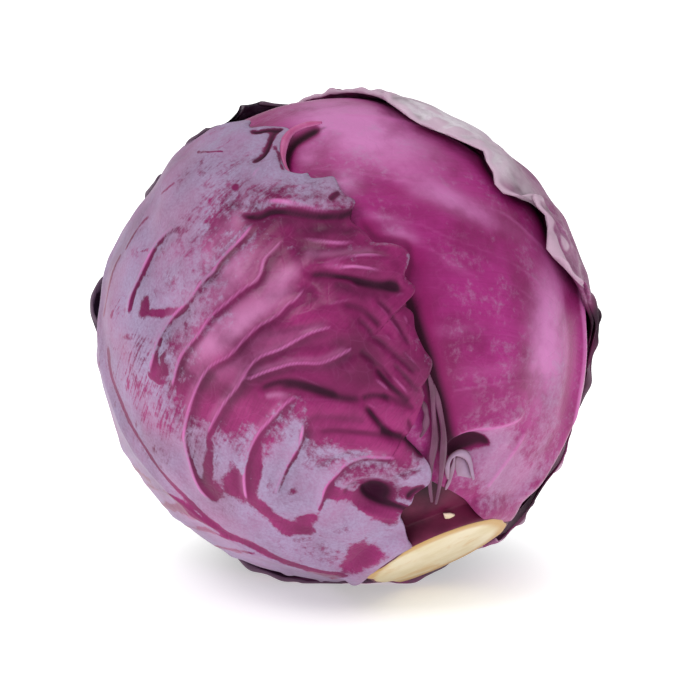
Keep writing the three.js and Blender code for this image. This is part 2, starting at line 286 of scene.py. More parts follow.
WRAPPER_LEAVES = [
    {
        "name": "right_leaf",
        "turn": 85,
        "reach": {"left": 104, "right": 76, "tip": 98, "base": 70},
        "left_margin": [
            (17.3, 72), (17.6, 52), (20.5, 37), (24.5, 28), (29, 19), (33, 12), (39, 5), (46, 0),
            (55, -5), (65, -10), (75, -15), (85, -18), (100, -19), (115, -19), (130, -20),
            (140, -21), (150, -24), (159, -31), (167, -47), (172, -85),
        ],
        "flare": {"left": 0, "right": 0, "tip": 0},
        "waves": 6,
    },
    {
        "name": "left_leaf",
        "turn": -70,
        "reach": {"left": 80, "right": 88, "tip": 84, "base": 70},
        "right_margin": {
            "from_stem": [(17.3, -52), (17.4, -30), (18.6, -17)],
            "pixels": SEAM,
            "radius": SEAM_RADIUS,
            "to_tip": [(150, -32), (158, -42), (166, -52), (172, -65)],
        },
        "flare": {"left": 0, "right": 1.6, "tip": 0},
        "waves": 9,
    },
    {
        "name": "back_right_leaf",
        "turn": 136,
        "reach": {"left": 74, "right": 70, "tip": 86, "base": 70},
        "left_margin": {
            "from_stem": [
                (20.6, 152), (24, 145), (30, 131), (37, 121), (43, 115), (49, 108), (55, 103),
                (62, 99), (68, 95), (72, 89),
            ],
            "pixels": PALE_MARGIN,
            "radius": PALE_MARGIN_RADIUS,
            "to_tip": [(133, 47), (140, 52), (150, 56), (163, 66), (172, 104)],
        },
        "flare": {"left": 2.8, "right": 0, "tip": 0},
        "waves": 8,
    },
    {
        "name": "back_left_leaf",
        "turn": -158,
        "reach": {"left": 72, "right": 76, "tip": 92, "base": 70},
        "right_margin": [
            (20.6, -150), (23.5, -143), (27, -135), (33.5, -125), (40, -118), (47, -115),
            (55, -114), (64, -115), (76, -116), (95, -114), (108, -111), (117, -104), (121, -93),
            (127, -88), (133, -94), (139, -103), (146, -103), (151, -92), (154.5, -77), (158, -87),
            (162, -96), (166, -79), (169, -76), (172, -105), (173, -160), (172, 165),
        ],
        "flare": {"left": 2.2, "right": 3, "tip": 0.4},
        "waves": 10,
    },
]

# The left leaf's side veins on the view, from the midrib out
LEFT_VEINS = {
    "top": [(128, 318), (132, 295), (140, 277), (147, 262), (155, 246), (163, 236), (178, 222)],
    "first": [(149, 380), (152, 365), (158, 341), (170, 320), (188, 300), (205, 280), (214, 272),
              (219, 263), (233, 247), (244, 237), (252, 226), (257, 217)],
    "second": [(173, 396), (174, 382), (183, 355), (200, 333), (210, 318), (225, 305), (245, 289),
               (257, 281), (262, 272), (265, 260), (276, 248), (290, 233)],
    "third": [(221, 506), (202, 490), (190, 463), (185, 435), (194, 396), (210, 368), (230, 356),
              (245, 340), (259, 327), (274, 318), (281, 312), (287, 305), (295, 300), (306, 284),
              (308, 272)],
    "fourth": [(204, 443), (211, 426), (223, 406), (239, 386), (248, 370), (260, 358), (280, 350),
               (300, 339), (312, 333), (330, 328), (342, 323)],
    "fifth": [(243, 384), (253, 378), (267, 372), (280, 368), (290, 365), (303, 364), (320, 364),
              (340, 356), (358, 345)],
    "sixth": [(250, 503), (246, 490), (245, 470), (250, 450), (260, 432), (270, 421), (282, 408),
              (294, 398), (304, 396)],
    "seventh": [(275, 497), (280, 482), (287, 466), (294, 454), (300, 443), (303, 431), (303, 420)],
    "eighth": [(315, 514), (321, 500), (327, 485), (336, 475), (347, 465), (360, 459), (380, 458),
               (400, 458)],
}

# The right leaf's side veins on the view, from the seam to its midrib
RIGHT_VEINS = {
    "top": [(292, 172), (310, 170), (345, 171), (380, 177), (410, 182), (440, 184), (455, 194),
            (475, 204), (500, 214), (522, 229), (542, 248), (556, 268)],
    "second": [(354, 210), (372, 217), (400, 222), (420, 226), (445, 238), (480, 250), (520, 268),
               (550, 296)],
    "third": [(406, 250), (416, 247), (428, 249), (442, 257), (460, 270), (480, 278), (510, 284),
              (545, 310)],
    "fourth": [(436, 342), (460, 338), (490, 335), (520, 338), (555, 352)],
    "fifth": [(446, 393), (470, 389), (490, 385), (520, 381), (556, 384)],
    "crown": [(330, 113), (380, 119), (410, 124), (440, 133), (470, 150), (500, 172), (530, 204)],
}
RIGHT_MIDRIB = [
    (572, 268), (577, 290), (580, 315), (581, 358), (576, 396), (567, 435), (546, 473), (521, 496),
    (505, 508),
]

# The left leaf's midrib, the veins at its base and the fine lines in its wax
LEFT_MIDRIB = [
    (108, 340), (112, 370), (125, 408), (151, 451), (176, 486), (202, 512), (223, 530), (255, 545),
    (284, 559), (320, 571), (352, 577),
]

LEFT_BASE_VEINS = [
    [(133, 478), (165, 492), (200, 516), (224, 531)],
    [(150, 503), (176, 507), (200, 519), (222, 530)],
    [(168, 520), (195, 527), (232, 538)],
    [(188, 541), (222, 547), (262, 553)],
    [(100, 400), (110, 430), (130, 462), (160, 486)],
]

LEFT_HAIRLINES = [
    [(126, 254), (133, 240), (142, 226), (152, 214)],
    [(155, 246), (168, 243), (190, 240)],
    [(140, 278), (152, 275), (172, 273), (190, 274)],
    [(160, 263), (172, 257), (181, 252)],
    [(104, 322), (110, 290), (117, 268), (126, 250)],
    [(112, 320), (118, 306), (124, 294)],
    [(126, 255), (138, 253), (150, 248)],
    [(160, 196), (170, 188), (178, 182)],
    [(196, 153), (210, 154), (226, 153)],
    [(148, 374), (160, 382), (170, 383)],
    [(160, 362), (166, 352), (178, 343)],
]

# Folds of the left leaf, each with its path, widths above and below, height and marks
# The crease and shade marks paint shade into grooves and hollows, and the crest and pale marks
# paint highlights on lips and ridges
LEFT_FOLDS = [
    # the turned-down flap at the top, its lip with a painted highlight and the groove under it in
    # painted shade
    ([(238, 203), (262, 201), (280, 201), (300, 204), (320, 207), (335, 207), (350, 203)],
     16, 3, 1.5, {}),
    ([(246, 204), (262, 203), (280, 203), (300, 206), (320, 210), (335, 210), (347, 205)],
     1.6, 2.2, 0.5, {"crest": 0.6}),
    ([(236, 213), (248, 215), (258, 214), (270, 210), (285, 210), (300, 212), (320, 214),
      (340, 213), (356, 211)], 2.4, 4.6, -2.4, {"crease_shade": 1.0}),
    ([(250, 214), (270, 212), (300, 214), (330, 216), (354, 214)], 2, 15, -0.4, {"shade": 0.85}),
    ([(228, 206), (245, 208), (262, 207)], 5, 6, -0.3, {"shade": 0.68}),
    ([(329, 203), (334, 197), (341, 192)], 2.5, 3.5, -1.2, {"crease_shade": 1.0}),
    ([(336, 214), (346, 212), (356, 210)], 3, 5, -0.6, {"crease_shade": 1.0}),
    ([(262, 196), (285, 190), (310, 186), (330, 184)], 2, 3, 0.4, {"crest": 0.25}),
    ([(300, 200), (318, 197), (330, 190)], 1.5, 2, -0.4, {"shade": 0.59}),
    ([(250, 187), (275, 183), (300, 183)], 2, 2.5, 0.3, {"crest": 0.2}),
    # crevices at the top left, in painted shade
    ([(249, 162), (256, 159), (262, 155), (268, 146), (272, 136), (277, 130), (284, 128)],
     2.4, 2.4, -1.8, {"crease_shade": 1.0}),
    ([(248, 130), (256, 133), (264, 131), (274, 129), (286, 128)], 1.8, 1.8, -1.0, {"crease_shade": 1.0}),
    ([(271, 145), (277, 150), (280, 162), (285, 173)], 1.2, 1.2, -0.6, {"crease_shade": 0.8}),
    ([(250, 182), (256, 172), (264, 164)], 2, 3, 0.4, {"crest": 0.35}),
    # folds below the flap, with painted highlights on their ridges and painted shade below them
    ([(290, 243), (302, 239), (320, 241), (340, 243), (356, 241), (368, 239)], 2, 3, 0.5,
     {"crest": 0.55}),
    ([(288, 228), (320, 228), (345, 229), (362, 231)], 6, 7, -0.6, {"shade": 0.71}),
    ([(338, 232), (350, 229), (360, 230), (369, 237)], 1.1, 1.5, -0.5, {"shade": 0.85}),
    ([(300, 252), (325, 255), (350, 252), (378, 250)], 5, 5, 0.2, {"pale": 0.55}),
    ([(290, 249), (310, 248), (335, 249), (356, 246)], 2, 4, -0.5, {"shade": 0.68}),
    ([(304, 268), (318, 265), (335, 261), (352, 257), (370, 256), (388, 257), (402, 260)],
     2, 3, 0.7, {"crest": 0.45}),
    ([(308, 269), (330, 266), (355, 262), (380, 263), (400, 268)], 7, 3, 1.1, {}),
    ([(306, 270), (322, 268), (338, 268), (352, 267), (366, 268), (382, 271), (398, 275)],
     1.5, 1.9, 0.4, {"crest": 0.6}),
    ([(304, 275), (320, 273), (338, 275), (352, 277), (368, 280), (384, 282), (401, 279)],
     1.7, 4.0, -2.3, {"crease_shade": 1.0}),
    ([(350, 279), (368, 283), (385, 285), (402, 283)], 2.5, 6, -1.0, {"crease_shade": 1.0}),
    ([(330, 280), (360, 288), (395, 290)], 3, 11, -0.3, {"shade": 0.85}),
    ([(342, 281), (352, 285), (366, 291)], 1.4, 1.8, 0.6, {"crest": 0.36}),
    ([(293, 286), (299, 286), (304, 288)], 2.5, 2.5, 0.6, {"crest": 0.36}),
    # between the veins: painted shade in the dips and painted highlights on small ridges
    ([(282, 262), (300, 255), (322, 254)], 6, 8, -0.3, {"shade": 0.48}),
    ([(262, 300), (282, 292), (300, 290), (318, 292)], 5, 6, -0.6, {"shade": 0.59}),
    ([(280, 311), (290, 303), (300, 297)], 1.5, 1.8, 0.4, {"crest": 0.4}),
    ([(287, 316), (300, 313), (317, 310)], 1.6, 2, 0.5, {"crest": 0.36}),
    ([(318, 309), (335, 303), (350, 299), (362, 292)], 2, 2.5, 0.5, {"crest": 0.4}),
    ([(298, 306), (310, 301), (320, 296)], 3, 3, -0.4, {"shade": 0.68}),
    ([(262, 337), (285, 330), (310, 326), (335, 322)], 3, 4, -0.5, {"shade": 0.59}),
    ([(270, 352), (300, 349), (330, 344), (350, 338)], 5, 6, -0.7, {"shade": 0.59}),
    ([(205, 352), (222, 340), (240, 326)], 4, 6, -0.4, {"shade": 0.34}),
    # the broad hollow in painted shade, and the lip below it with a painted highlight
    ([(284, 372), (300, 377), (316, 384), (334, 393)], 1.6, 2, 0.8, {"crest": 0.4}),
    ([(256, 392), (270, 385), (285, 382), (300, 384), (316, 389), (330, 394), (344, 399)],
     3.5, 3.0, -1.6, {"crease_shade": 0.95}),
    ([(276, 389), (290, 387), (310, 391), (330, 397), (350, 400), (366, 400)], 5, 2, -0.6,
     {"crease_shade": 0.85}),
    ([(360, 400), (370, 396), (380, 396), (392, 401)], 2.2, 2.4, -1.6, {"crease_shade": 1.0}),
    ([(262, 398), (280, 396), (300, 398), (320, 399), (340, 400), (358, 403), (368, 406)],
     1.5, 2.2, 0.7, {"crest": 0.4}),
    ([(262, 402), (290, 401), (320, 404), (350, 406), (372, 410)], 3, 11, 1.0, {}),
    ([(264, 396), (280, 394), (294, 396)], 3, 3, 0.2, {"pale": 1.0}),
    ([(300, 424), (318, 417), (340, 418), (370, 420)], 4, 5, -0.6, {"shade": 0.59}),
    ([(314, 432), (335, 430), (360, 432), (385, 435), (402, 440)], 1.6, 2.4, -0.9,
     {"crease_shade": 0.8}),
    ([(318, 427), (340, 425), (366, 427)], 1.5, 2, 0.3, {"crest": 0.3}),
    # the crevice where the crumpled edge meets the lower lobe, in painted shade
    ([(363, 403), (369, 411), (376, 420), (384, 429), (394, 436), (404, 439), (412, 443),
      (418, 452), (427, 462)], 2.8, 2.8, -2.2, {"crease_shade": 1.0}),
    ([(380, 429), (390, 435), (404, 438)], 4, 4, -0.6, {"crease_shade": 1.0}),
    ([(406, 440), (416, 447), (425, 458)], 3, 6, -0.6, {"crease_shade": 1.0}),
    # crumpled folds beside the seam, with painted shade in their grooves and painted highlights on
    # their ridges
    ([(340, 306), (352, 306), (364, 311), (374, 320), (382, 330)], 4, 4, -1.2, {"crease_shade": 0.7}),
    ([(372, 296), (384, 306), (394, 320), (402, 334), (412, 348)], 2.5, 3, -1.0, {"shade": 0.94}),
    ([(366, 330), (378, 340), (392, 352), (408, 366), (418, 376)], 3, 3.5, -1.0, {"shade": 0.85}),
    ([(356, 318), (366, 326), (374, 338)], 3, 3, -0.8, {"shade": 0.85}),
    ([(358, 348), (372, 360), (384, 372), (394, 384)], 3, 4, -1.0, {"shade": 0.85}),
    ([(374, 366), (386, 380), (398, 392), (413, 404)], 3, 4.5, -1.5, {"crease_shade": 0.85}),
    ([(392, 362), (404, 374), (414, 386), (421, 394)], 2, 3, -0.9, {"shade": 0.94}),
    ([(380, 392), (392, 398), (404, 404), (417, 408)], 2, 4, -1.0, {"crease_shade": 0.7}),
    ([(402, 350), (412, 362), (421, 372)], 1.5, 2, -0.6, {"shade": 0.77}),
    ([(407, 419), (411, 428), (414, 436)], 1.6, 1.6, -1.0, {"crease_shade": 0.8}),
    ([(362, 290), (372, 298), (384, 312), (394, 326), (404, 340), (416, 356)], 1.8, 2.2, 0.8,
     {"crest": 0.35}),
    ([(366, 303), (376, 312), (386, 326)], 1.5, 1.8, 0.5, {"crest": 0.25}),
    ([(381, 331), (387, 337), (393, 344)], 2, 2, 0.6, {"crest": 0.36}),
    ([(362, 336), (376, 346), (392, 360), (408, 372)], 2, 2, 0.6, {"crest": 0.3}),
    ([(396, 344), (410, 358), (422, 370)], 1.6, 1.6, 0.5, {"crest": 0.4}),
    ([(370, 376), (382, 384), (393, 394)], 2.2, 2.2, 0.9, {"crest": 0.45}),
    ([(384, 370), (398, 382), (410, 396), (418, 402)], 2, 2, 0.8, {"crest": 0.4}),
    ([(363, 402), (372, 406), (381, 410)], 2.2, 2.2, 0.6, {"crest": 0.36}),
    ([(392, 301), (398, 295), (409, 292)], 2.5, 2.5, 0.8, {"crest": 0.4}),
    ([(402, 311), (405, 319), (409, 327)], 2, 2, 0.7, {"crest": 0.4}),
    ([(423, 364), (428, 372), (429, 380)], 1.5, 1.5, 0.5, {"crest": 0.36}),
    ([(399, 423), (406, 431), (413, 438)], 1.6, 1.6, 0.6, {"crest": 0.45}),
    ([(416, 417), (418, 428), (416, 438)], 1.6, 1.6, 0.6, {"crest": 0.45}),
    # the lower lobe, its hollow and its rim, with painted shade in the hollow and crevices and
    # painted highlights on ridges
    ([(298, 469), (308, 461), (324, 452), (340, 447), (360, 445), (384, 444), (402, 451)],
     2, 3, 0.5, {}),
    ([(314, 471), (328, 462), (340, 456), (354, 453), (374, 457)], 3, 3.5, -1.0,
     {"shade": 0.77}),
    ([(370, 456), (385, 459), (401, 459)], 1.2, 1.6, -0.3, {"shade": 0.51}),
    ([(338, 469), (352, 463), (366, 461), (382, 467)], 3, 3, -0.7, {"shade": 0.65}),
    ([(390, 478), (406, 473), (420, 468), (430, 464)], 1.8, 2.5, -0.8, {"shade": 0.94}),
    ([(403, 466), (418, 466), (431, 461)], 1.2, 1.6, 0.4, {"crest": 0.4}),
    ([(334, 496), (342, 485), (352, 478), (368, 474), (390, 476), (414, 480)], 3.5, 4, 0.9, {}),
    ([(343, 493), (350, 484), (359, 482)], 2, 2.5, -0.6, {"shade": 0.85}),
    ([(361, 484), (366, 494), (378, 501), (394, 506), (412, 510)], 2, 2.5, -1.2,
     {"crease_shade": 1.0}),
    ([(406, 500), (414, 492), (426, 486)], 2, 3, -0.8, {"crease_shade": 0.8}),
    ([(350, 503), (368, 510), (388, 514), (403, 516)], 2.5, 3, 0.7, {}),
]

# Soft ovals of the left leaf on the view: middle, radii, angle and amount
# Hollows: sunken ovals with painted shade inside
LEFT_HOLLOWS = [
    ((330, 382), (34, 12), 12, 0.22),
    ((376, 492), (13, 8), 20, 1.1),
    ((386, 488), (28, 14), 15, 0.4),
    ((396, 288), (11, 5), 20, 0.45),
]

LEFT_BLOOM = [
    ((318, 318), (100, 86), 20, -1.6),
    ((215, 385), (44, 44), -20, -1.0),
    ((395, 380), (40, 76), 0, -0.9),
    ((360, 416), (72, 19), 3, -0.9),
    ((236, 420), (30, 26), 0, -0.5),
    ((225, 225), (46, 34), -30, -0.35),
    ((318, 228), (52, 14), 2, -0.9),
    ((290, 196), (50, 12), 4, -0.3),
    ((215, 180), (50, 40), 30, -0.15),
    ((145, 400), (26, 60), -24, -0.25),
    ((350, 437), (56, 9), 0, -0.6),
    ((345, 472), (46, 16), 20, -0.45),
    ((392, 452), (26, 12), 30, -0.5),
    ((285, 428), (15, 30), 28, 0.35),
    ((300, 425), (8, 18), 10, 0.3),
    ((270, 440), (14, 22), 10, -0.45),
    ((396, 256), (14, 16), 20, -0.8),
    ((200, 520), (26, 12), 20, 0.5),
    ((330, 545), (60, 26), 20, -0.2),
]

LEFT_RUBBED = [
    ((257, 468), (7, 28), 6, 1.0),
    ((209, 460), (6, 20), 4, 1.0),
    ((236, 482), (11, 22), -14, 0.8),
    ((214, 492), (10, 14), -20, 0.7),
    ((270, 512), (24, 7), 42, 0.9),
    ((300, 528), (16, 7), 12, 0.9),
    ((308, 517), (12, 4), -5, 0.8),
    ((372, 508), (30, 8), 30, 0.9),
    ((362, 556), (22, 15), -20, 1.1),
    ((334, 492), (9, 6), 0, 0.9),
    ((292, 492), (10, 4), -20, 0.7),
    ((146, 306), (5, 13), 12, 1.0),
    ((165, 312), (20, 4), -8, 0.8),
    ((130, 338), (10, 4), 0, 0.7),
    ((162, 370), (10, 16), 30, 0.6),
    ((182, 508), (26, 7), 20, 0.6),
    ((236, 188), (5, 4), 0, 0.9),
    ((198, 425), (6, 6), 0, 0.5),
]

# Painted highlights on the pillows between the left leaf's veins and on its folds
LEFT_PALE = [
    ((215, 240), (34, 18), -40, 0.6),
    ((232, 272), (38, 22), -45, 0.9),
    ((254, 316), (50, 18), -38, 0.95),
    ((284, 276), (24, 12), -30, 0.7),
    ((205, 340), (40, 24), -55, 0.7),
    ((176, 296), (20, 10), -20, 0.5),
    ((292, 336), (34, 10), -14, 0.5),
    ((275, 180), (34, 12), 0, 0.4),
    ((240, 215), (18, 10), -40, 0.5),
    ((235, 370), (30, 16), -30, 0.4),
]

LEFT_STREAKS = [
    ((150, 400), (26, 72), -24, 1.0),
    ((215, 480), (60, 34), 40, 0.6),
    ((130, 350), (26, 40), -10, 0.8),
    ((215, 185), (50, 60), 30, 0.35),
]

# Folds of the right leaf, listed in the same way
RIGHT_FOLDS = [
    # painted shadow beside the seam and beside the rolled margin
    ([(356, 212), (366, 226), (378, 238), (392, 240), (408, 244), (412, 262), (408, 280),
      (412, 300), (420, 330)], 5, 7, -0.9, {"crease_shade": 0.6}),
    ([(404, 280), (408, 300), (414, 320), (420, 340), (428, 362), (434, 385), (441, 410),
      (446, 440), (446, 470)], 8.5, 8.5, -1.8, {"crease_shade": 1.3}),
    ([(286, 176), (286, 162), (288, 150), (294, 141), (305, 134), (322, 125)], 4.5, 4.5, -1.8,
     {"crease_shade": 1.0}),
    # painted shadow beside the pale margin at the upper right
    ([(392, 104), (405, 113), (440, 128), (465, 140), (481, 154), (487, 167), (505, 186),
      (520, 198), (532, 203), (542, 219), (548, 236), (560, 260), (573, 276)], 2, 4.5, -0.5,
     {"crease_shade": 0.9}),
    # the rim at the right: a darker rubbed band inside it and a painted highlight along it
    ([(566, 280), (571, 315), (571, 350), (567, 390), (558, 428)], 5, 5, -0.4, {"rub": 0.8}),
    ([(574, 276), (578, 300), (581, 330), (581, 358), (577, 396), (568, 433)], 1.6, 1.6, 0.7,
     {"crest": 1.0}),
    # the hollow beside the stem, in painted shade under a lip with a painted highlight
    ([(446, 452), (451, 441), (461, 433), (475, 428), (492, 426), (510, 421), (527, 412)],
     8, 2, 1.3, {}),
    ([(446, 453), (451, 443), (461, 435), (475, 430), (492, 428), (510, 423), (527, 414)],
     1.8, 1.8, 0.3, {"crest": 0.75}),
    ([(449, 462), (452, 447), (462, 438), (474, 435), (486, 439), (494, 448)], 1.5, 7, -1.4,
     {"crease_shade": 1.0}),
    ([(478, 470), (488, 458), (500, 446), (512, 440)], 5, 5, 0.6, {}),
    ([(484, 492), (500, 472), (516, 450), (528, 428)], 3, 3, 0.6, {"crest": 0.4}),
    ([(475, 505), (478, 490), (482, 474)], 3, 3, -0.5, {"crease_shade": 0.3}),
]

# Soft ovals of the right leaf
# Hollows: sunken ovals with painted shade inside
RIGHT_HOLLOWS = [
    ((466, 444), (16, 7), -12, 0.85),
    ((456, 452), (6, 9), 0, 0.5),
]

# Painted highlights on the right leaf, broadest at the top, and a lighter band at the right
RIGHT_PALE = [
    ((345, 122), (60, 26), 8, 1.0),
    ((345, 184), (17, 15), 0, 0.8),
    ((306, 156), (16, 14), 0, 0.5),
    ((400, 236), (20, 8), 10, 0.8),
    ((386, 218), (24, 6), 10, 0.6),
    ((548, 335), (20, 80), 2, 0.95),
    ((400, 150), (70, 24), 12, 0.5),
    ((440, 195), (60, 16), 22, 0.45),
    ((470, 210), (60, 12), 28, 0.4),
    ((455, 265), (30, 8), 30, 0.3),
    ((460, 330), (50, 10), -4, 0.3),
    ((490, 370), (50, 10), -4, 0.25),
]

RIGHT_RUBBED = [
    ((395, 190), (18, 8), 5, 1.0),
    ((428, 206), (14, 8), 10, 0.6),
    ((412, 262), (18, 12), 0, 0.8),
    ((424, 300), (12, 60), -8, 0.9),
    ((455, 155), (44, 12), 25, 0.5),
    ((480, 245), (50, 12), 20, 0.35),
    ((370, 228), (10, 8), 0, 0.7),
    ((470, 405), (40, 14), 0, 0.35),
]

RIGHT_BLOOM = [
    ((503, 466), (34, 42), -30, 0.95),
    ((480, 438), (26, 12), -20, 0.4),
    ((552, 395), (10, 50), 10, 0.4),
]

# Soft ovals of the two back leaves
PALE_LEAF_OVALS = {
    "pale": [
        ((440, 118), (60, 14), 22, 1.1), ((500, 165), (30, 16), 45, 0.7),
        ((530, 200), (20, 12), 50, 0.5),
    ],
    "bloom": [((572, 250), (30, 60), -30, -0.3)],
    # painted shade towards the pale leaf's lower right edge
    "crease_shade": [
        ((596, 318), (8, 26), 0, 0.7), ((588, 400), (12, 70), 12, 0.8),
        ((540, 500), (40, 24), -50, 0.9),
    ],
}
DARK_LEAF_OVALS = {
    "pale": [((310, 584), (130, 30), 0, 1.6), ((200, 540), (60, 40), 45, 1.0)],
}

# Folded strips of leaf in the seam
SEAM_STRIPS = [
    [(428, 372), (434, 392), (436, 415), (436, 440), (431, 465), (430, 485), (432, 502)],
    [(434, 384), (441, 405), (445, 430), (444, 455), (441, 480), (436, 504)],
    [(424, 402), (428, 414), (427, 428), (421, 438)],
]

# The margin of the right leaf that is rolled over at the top of the seam
ROLLED_MARGIN = [
    (322, 123), (306, 126), (292, 133), (284, 143), (282, 156), (285, 168), (290, 176),
]

# A curled scrap at the base of the right leaf: its rim, its middle and a strip beside it
CURL_RIM = [(449, 480), (449, 466), (453, 459), (460, 456), (468, 458), (473, 463), (475, 481)]
CURL_SCRAP = [(457, 479), (457, 463), (461, 459), (468, 459), (473, 464), (474, 480)]
CURL_STRIP = [(446, 490), (452, 478), (456, 466), (458, 458)]

# A cream chip of stem on the inner leaves
CREAM_CHIP = [(443, 513), (452, 513), (459, 518), (457, 524), (451, 526), (446, 522)]


def unit(vector):
    return vector / np.linalg.norm(vector)


def smoothstep(value, low, high):
    share = np.clip((value - low) / (high - low), 0, 1)
    return share * share * (3 - 2 * share)


def gaussian(distance, width):
    return np.exp(-((distance / width) ** 2))


def lerp(start, end, share):
    return start + (end - start) * share


lean, turned, raised = (math.radians(angle) for angle in (STEM_LEAN, STEM_TURN, FRONT_ELEVATION))
STEM_AXIS = np.array([
    math.sin(lean) * math.sin(turned),
    -math.sin(lean) * math.cos(turned),
    -math.cos(lean),
])
CROWN_AXIS = -STEM_AXIS
TO_VIEWER = np.array([0, -math.cos(raised), math.sin(raised)])
VIEW_RIGHT = np.array([1.0, 0, 0])
VIEW_UP = np.array([0, math.sin(raised), math.cos(raised)])
FRONT_AXIS = unit(TO_VIEWER - TO_VIEWER.dot(CROWN_AXIS) * CROWN_AXIS)
RIGHT_AXIS = np.cross(CROWN_AXIS, FRONT_AXIS)


def head_directions(places):
    """Directions from the head's centre of places given as (polar, turn)."""
    polar, turn = np.radians(np.asarray(places, float).reshape(-1, 2)).T
    across = np.sin(polar)
    return (
        np.outer(np.cos(polar), STEM_AXIS)
        + np.outer(across * np.cos(turn), FRONT_AXIS)
        + np.outer(across * np.sin(turn), RIGHT_AXIS)
    )


# The camera in the head's own frame, whose origin is the head's centre
CAMERA_PLACE = CAMERA_DISTANCE * TO_VIEWER + CAMERA_ASIDE * VIEW_RIGHT - CAMERA_BELOW * VIEW_UP
FOCAL_PIXELS = CAMERA_LENS / CAMERA_SENSOR * FRAME_PIXELS


def to_pixels(points):
    """Where the camera sees points given round the head's centre."""
    seen = points - CAMERA_PLACE
    depth = -(seen @ TO_VIEWER)
    return np.stack([
        FRAME_PIXELS / 2 + FOCAL_PIXELS * (seen @ VIEW_RIGHT) / depth,
        FRAME_PIXELS / 2 - FOCAL_PIXELS * (seen @ VIEW_UP) / depth,
    ], axis=1)


def pixel_directions(pixels, radius):
    """Directions from the head's centre of the places seen at these pixels on a sphere."""
    pixels = np.asarray(pixels, float).reshape(-1, 2)
    across, down = (pixels.T - FRAME_PIXELS / 2) / FOCAL_PIXELS
    rays = np.outer(across, VIEW_RIGHT) - np.outer(down, VIEW_UP) - TO_VIEWER
    rays /= np.linalg.norm(rays, axis=1, keepdims=True)
    nearest = -(rays @ CAMERA_PLACE)
    offset = np.linalg.norm(CAMERA_PLACE + rays * nearest[:, None], axis=1)
    reach = nearest - np.sqrt(np.maximum(0, radius ** 2 - offset ** 2))
    points = CAMERA_PLACE + rays * reach[:, None]
    return points / np.linalg.norm(points, axis=1, keepdims=True)


def smooth_curve(points, per_span=10):
    """A centripetal Catmull-Rom curve through the points, as a dense list."""
    points = np.asarray(points, float)
    padded = np.vstack([2 * points[0] - points[1], points, 2 * points[-1] - points[-2]])
    pieces = []
    for before, start, end, after in zip(padded[:-3], padded[1:-2], padded[2:-1], padded[3:]):
        d0, d1, d2 = (
            max(1e-6, np.linalg.norm(b - a)) ** 0.5
            for a, b in ((before, start), (start, end), (end, after))
        )
        leave = ((start - before) / d0 - (end - before) / (d0 + d1) + (end - start) / d1) * d1
        arrive = ((end - start) / d1 - (after - start) / (d1 + d2) + (after - end) / d2) * d1
        t = np.linspace(0, 1, per_span, endpoint=False)[:, None]
        pieces.append(
            start * (2 * t ** 3 - 3 * t ** 2 + 1) + leave * (t ** 3 - 2 * t ** 2 + t)
            + end * (3 * t ** 2 - 2 * t ** 3) + arrive * (t ** 3 - t ** 2)
        )
    return np.vstack([*pieces, points[-1:]])


def along_curve(curve, shares):
    """Points at shares of a curve's length."""
    lengths = np.concatenate([[0], np.cumsum(np.linalg.norm(np.diff(curve, axis=0), axis=1))])
    return np.stack([np.interp(shares * lengths[-1], lengths, axis) for axis in curve.T], axis=1)


def even_out(points):
    """A margin's row ends with their small bends averaged out along the margin."""
    reach = len(points) // EVENING_PARTS
    weights = gaussian(np.arange(-reach, reach + 1), reach / 2)
    padded = np.pad(points, ((reach, reach), (0, 0)), mode="reflect", reflect_type="odd")
    return np.stack(
        [np.convolve(axis, weights / weights.sum(), mode="valid") for axis in padded.T], axis=1,
    )


def oval_reach(reach, angle):
    """How far a plain leaf reaches on its chart, with a quarter ellipse on each side."""
    across = np.where(np.cos(angle) > 0, reach["right"], reach["left"])
    along = np.where(np.sin(angle) > 0, reach["tip"], reach["base"])
    return 1 / np.hypot(np.cos(angle) / across, np.sin(angle) / along)


